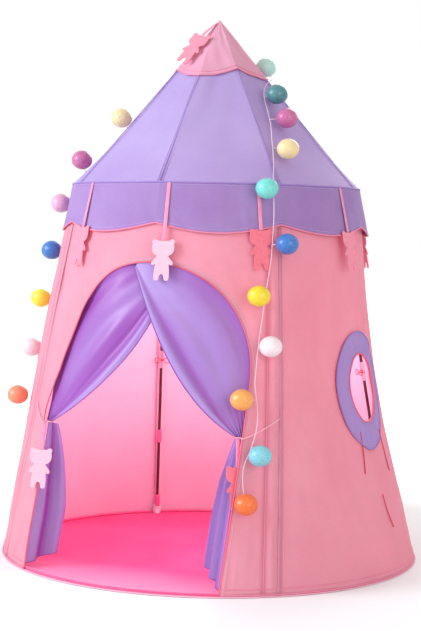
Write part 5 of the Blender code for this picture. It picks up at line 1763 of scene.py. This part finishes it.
@dataclass
class Bears:
    """Flat felt bears on ribbons: eight round the eave, one at the point and one on each tie-back."""

    roof: Roof
    door: Door
    height: float = 0.100
    felt: float = 0.0020
    ribbon_half: float = 0.0045
    knee_drop: float = 0.100
    knee_out: float = 0.0040
    low_ribbon: float = 0.128
    apex_ribbon: float = 0.048
    tie_ribbon: float = 0.058
    lean: float = 0.0175
    stand_off: float = 0.0005
    angles: tuple[float, ...] = (10.0, 43.0, 82.0, 130.0, 180.0, 228.0, 280.0, 333.0)
    apex_angle: float = 333.0
    apex_roll: float = 20.0
    half_width_share: float = 0.272
    top_share: float = 0.97
    tie_past: float = 0.0070
    tie_angle: float = 15.0
    right_inset: float = 0.0095
    felt_edge: float = 0.0005
    weld: float = 0.00002
    ribbon_sewn: float = 0.006
    ribbon_puff: float = 0.0004
    ribbon_thickness: float = 0.0006
    half_shares: tuple[Pair, ...] = (
        (0.0, 0.954), (0.060, 0.955), (0.110, 0.957), (0.144, 0.964), (0.166, 0.978), (0.190, 0.995),
        (0.221, 0.999), (0.250, 0.986), (0.268, 0.960), (0.271, 0.930), (0.260, 0.902), (0.261, 0.872),
        (0.270, 0.830), (0.272, 0.780), (0.262, 0.720), (0.235, 0.662), (0.190, 0.622), (0.145, 0.600),
        (0.152, 0.570), (0.195, 0.515), (0.240, 0.465), (0.262, 0.420), (0.252, 0.382), (0.220, 0.370),
        (0.185, 0.388), (0.165, 0.405), (0.172, 0.330), (0.182, 0.230), (0.186, 0.130), (0.182, 0.050),
        (0.165, 0.012), (0.125, 0.004), (0.085, 0.010), (0.066, 0.050), (0.052, 0.110), (0.030, 0.150),
        (0.0, 0.162),
    )

    def outline(self, ribbon: float) -> Array:
        """Closed outline of a bear below a ribbon: sideways and downwards distances."""
        half = smooth_line(np.array(self.half_shares), 100)
        half[:, 0] = np.clip(half[:, 0], 0, None)
        both = np.concatenate([half, half[-2:0:-1] * np.array((-1.0, 1.0))])
        down = ribbon + (1 - both[:, 1] * self.top_share) * self.height
        return np.stack([both[:, 0] * self.height, down], axis=-1)

    def flat_shape(self, ribbon: float) -> tuple[Array, list]:
        """A bear cut from felt: the outline filled and given a soft edge, as vertices and faces.

        Returns:
            Vertices as sideways, downwards and outwards distances, and the faces.
        """
        outline = self.outline(ribbon)
        curve = bpy.data.curves.new("bear_outline", "CURVE")
        curve.dimensions = "2D"
        curve.fill_mode = "BOTH"
        curve.extrude = self.felt / 2 - self.felt_edge
        curve.bevel_depth = self.felt_edge
        curve.bevel_resolution = 2
        curve.offset = -self.felt_edge
        spline = curve.splines.new("POLY")
        spline.points.add(len(outline) - 1)
        flat = np.column_stack([outline, np.zeros(len(outline)), np.ones(len(outline))])
        spline.points.foreach_set("co", flat.ravel().astype(np.float32))
        spline.use_cyclic_u = True
        item = add_object("bear_outline", curve)
        bpy.context.view_layer.update()
        mesh = bpy.data.meshes.new_from_object(item.evaluated_get(bpy.context.evaluated_depsgraph_get()))
        points = np.zeros(len(mesh.vertices) * 3)
        mesh.vertices.foreach_get("co", points)
        faces = [tuple(face.vertices) for face in mesh.polygons]
        bpy.data.objects.remove(item)
        bpy.data.curves.remove(curve)
        bpy.data.meshes.remove(mesh)
        return points.reshape(-1, 3), faces

    def bear(self, node: str, ribbon: float, finish: Felt, spine: Callable[[Array], tuple]) -> None:
        """Builds one bear and its ribbon.

        Args:
            node: The node that it stands for, and the body that it rides on.
            ribbon: Length of the ribbon.
            finish: The felt's finish.
            spine: Gives place, sideways direction and normal for lengths below the hinge.
        """
        flat, faces = self.flat_shape(ribbon)
        place, across, normal = spine(flat[:, 1])
        points = place + across * flat[:, :1] + normal * (flat[:, 2:] + self.felt / 2)
        mesh = bpy.data.meshes.new(node)
        mesh.from_pydata(points.tolist(), [], faces)
        mesh.materials.append(finish.material())
        item = add_object(node.replace("bear", "felt_bear"), mesh)
        self.mend(item)
        settle(item, node, (node,))
        length, width = np.meshgrid(np.linspace(0.0, ribbon + self.ribbon_sewn, 40),
                                    np.linspace(-1, 1, 7), indexing="ij")
        place, across, normal = spine(length.ravel())
        aside = width.ravel()[:, None]
        lift = self.felt / 2 + self.ribbon_puff * np.cos(aside * np.pi / 2)
        strap = (place + across * (aside * self.ribbon_half) + normal * lift).reshape(*length.shape, 3)
        away = -np.broadcast_to(normal, (length.size, 3)).reshape(*length.shape, 3)
        uv = np.stack([width * self.ribbon_half, length], axis=-1)
        piece = cloth_piece(item.name + "_ribbon", strap, uv, self.ribbon_thickness, (RIBBON,), False, away)
        settle(piece, node)

    def mend(self, item: Item) -> None:
        """Welds a new mesh's doubles and turns its faces outwards."""
        shape = bmesh.new()
        shape.from_mesh(item.data)
        bmesh.ops.remove_doubles(shape, verts=shape.verts, dist=self.weld)
        bmesh.ops.recalc_face_normals(shape, faces=shape.faces)
        shape.to_mesh(item.data)
        shape.free()
        item.data.polygons.foreach_set("use_smooth", np.zeros(len(item.data.polygons), dtype=bool))
        item.data.update()

    def eave(self) -> None:
        """The eight bears round the eave, whose ribbons lie on the valance and bend at its hem."""
        felts = (PALE_FELT, CORAL_FELT, PINK_FELT, PALE_FELT, CORAL_FELT, PINK_FELT, PALE_FELT, PINK_FELT)
        for number, (angle, finish) in enumerate(zip(self.angles, felts), start=1):
            ribbon = self.low_ribbon if number == 1 else self.knee_drop
            top = self.roof.valance_point(np.array(angle), 0.0, self.stand_off)
            knee = self.roof.valance_point(np.array(angle), ribbon, self.knee_out)
            reach = float(np.linalg.norm(knee - top))
            below = unit(-UP * self.height + FORM.outward(angle) * self.lean)

            def spine(length: Array, top=top, knee=knee, reach=reach, below=below, angle=angle) -> tuple:
                """Straight to the knee, then along the lower direction."""
                length = np.asarray(length)[:, None]
                upper = top + (knee - top) * np.minimum(length, reach) / reach
                place = upper + below * np.maximum(0, length - reach)
                return place, FORM.sideways(angle), FORM.outward(angle)

            self.bear(f"eave_bear_{number}", reach, finish, spine)

    def apex(self) -> None:
        """The bear that lies on the cap."""
        angle = self.apex_angle
        normal = FORM.outward(angle) * math.sin(FORM.slope) + UP * math.cos(FORM.slope)
        along = FORM.outward(angle) * math.cos(FORM.slope) - UP * math.sin(FORM.slope)
        start = UP * FORM.height + normal * self.stand_off + along * 3 * self.ribbon_half
        side = FORM.sideways(angle)

        def spine(length: Array) -> tuple:
            """Down the cap's slope, rolling towards the door until one edge alone touches the cap."""
            length = np.asarray(length)[:, None]
            roll = math.radians(self.apex_roll) * np.clip(length / self.apex_ribbon, 0, 1)
            across = side * np.cos(roll) - normal * np.sin(roll)
            lift = normal * np.sin(roll) * self.height * self.half_width_share
            return start + along * length + lift, across, normal * np.cos(roll) + side * np.sin(roll)

        self.bear("apex_bear", self.apex_ribbon, PINK_FELT, spine)

    def ties(self) -> None:
        """The bears on the tie-backs: the left one across the door's edge, the right one inside it."""
        top_height = NECK.height - NECK.cord_radius - NECK.gap
        ends = []
        for height in (top_height, top_height - self.tie_ribbon - self.height):
            along = -float(self.door.half(np.array(height), Side.LEFT)) + self.tie_past
            ends.append(FORM.wall_point(FORM.wall_angle(along, height), height))
        down = unit(ends[1] - ends[0])
        normal = FORM.outward(self.tie_angle)
        normal = unit(normal - down * (normal @ down))
        start, across = ends[0] - normal * self.felt, np.cross(normal, down)
        self.bear("tieback_bear_left", self.tie_ribbon, PALE_FELT,
                  lambda length: (start + down * np.asarray(length)[:, None], across, normal))
        along = float(self.door.half(np.array(NECK.height), Side.RIGHT)) - self.right_inset
        angle = float(FORM.wall_angle(along, top_height))
        top = FORM.wall_point(np.array(angle), np.array(top_height), -(NECK.depth - NECK.half_width / 2))
        turned = angle + FORM.twist * top_height / FORM.eave_height
        plumb = unit(FORM.outward(turned) * FORM.lean - UP)
        side, out = FORM.sideways(turned), FORM.outward(turned)
        self.bear("tieback_bear_right", self.tie_ribbon, CORAL_FELT,
                  lambda length: (top + plumb * np.asarray(length)[:, None], side, out))

    def build(self) -> None:
        """Builds the eleven bears."""
        self.eave()
        self.apex()
        self.ties()


# Frame


@dataclass
class Rods:
    """Finishes of the rods and fittings, and the cloth sleeves and ties that hold the wall to the legs."""

    corners: tuple[str, ...] = ("front_right", "back_right", "back_left", "front_left")
    foot_radius: float = 0.498
    top_radius: float = 0.341
    foot_height: float = 0.0056
    corner_height: float = 0.928
    sleeve_sizes: tuple[tuple[str, float, float, float], ...] = (
        ("sleeve", 0.215, 0.250, 0.0062), ("pocket", 0.026, 0.058, 0.0068))
    bow_height: float = 0.452
    bow_stand_off: float = 0.0085
    bow_half_width: float = 0.022
    bow_half_height: float = 0.0075
    bow_depth: float = 0.0012
    bow_radius: float = 0.0011
    band_size: float = 0.0070
    band_radius: float = 0.0012

    def leg(self, index: int, height: Array) -> Array:
        """Points on a leg's middle line at these heights."""
        share = (np.asarray(height) - self.foot_height) / (self.corner_height - self.foot_height)
        angle = FORM.first_pole + 90 * index
        low = FORM.ring(np.array(angle), self.foot_radius, self.foot_height)
        high = FORM.ring(np.array(angle + FORM.twist), self.top_radius, self.corner_height)
        return low + (high - low) * share[..., None]

    def dress(self) -> None:
        """Gives rods, ferrules and mouldings their finishes."""
        kinds = (("rafter_", ROD), ("upper_leg_", ROD), ("lower_leg_", ROD), ("leg_ferrule_", FERRULE),
                 ("eave_connector_", PLASTIC), ("foot_cap_", PLASTIC))
        for corner in self.corners:
            for kind, finish in kinds:
                dress(kind + corner, finish)
        dress("apex_hub", PLASTIC)
        dress("eave_hoop", ROD)

    def sleeves(self) -> None:
        """Short cloth sleeves and tied bows round each leg."""
        for index, corner in enumerate(self.corners):
            angle = FORM.first_pole + 90 * index
            box_low, box_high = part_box("lower_leg_" + corner)
            foot = FORM.ring(np.array(angle), self.foot_radius, 0.0)
            LOG.debug("leg %s: box %s %s, foot %s", corner, box_low, box_high, foot)
            for name, low, high, radius in self.sleeve_sizes:
                line = self.leg(index, np.linspace(low, high, 12))
                edging("wall", f"leg_{name}_{corner}", line, radius, SLEEVE_CLOTH, sides=14)
            middle = self.leg(index, np.array(self.bow_height))
            out, side = FORM.outward(angle), FORM.sideways(angle)
            turn = whole_turn(60, 2 * np.pi)
            across, around = np.sin(turn)[:, None], np.cos(turn)[:, None]
            loops = side * (self.bow_half_width * across * np.abs(across) ** 0.2)
            loops = loops + UP * (self.bow_half_height * np.sin(2 * turn))[:, None]
            bow = middle + loops - out * (self.bow_stand_off + self.bow_depth * around)
            band = middle + (out * around + side * across) * self.band_size
            for name, line, radius, outwards in (("bow", bow, self.bow_radius, out),
                                                 ("band", band, self.band_radius, UP)):
                edging("cord", f"leg_{name}_{corner}", line, radius, CORAL_CORD, closed=True, sides=6,
                       outwards=np.broadcast_to(outwards, line.shape))

    def build(self) -> None:
        """Dresses the frame."""
        self.dress()
        self.sleeves()


def main() -> None:
    """Builds the studio and the tent."""
    logging.basicConfig(level=logging.INFO, format="%(message)s")
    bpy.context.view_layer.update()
    door = Door()
    Studio().build()
    LightString().build()
    TieBacks().build(door)
    Wall(door).build()
    roof = Roof()
    roof.build()
    FloorSheet().build()
    Curtains(door).build()
    Bears(roof, door).build()
    Rods().build()


if __name__ == "__main__":
    main()
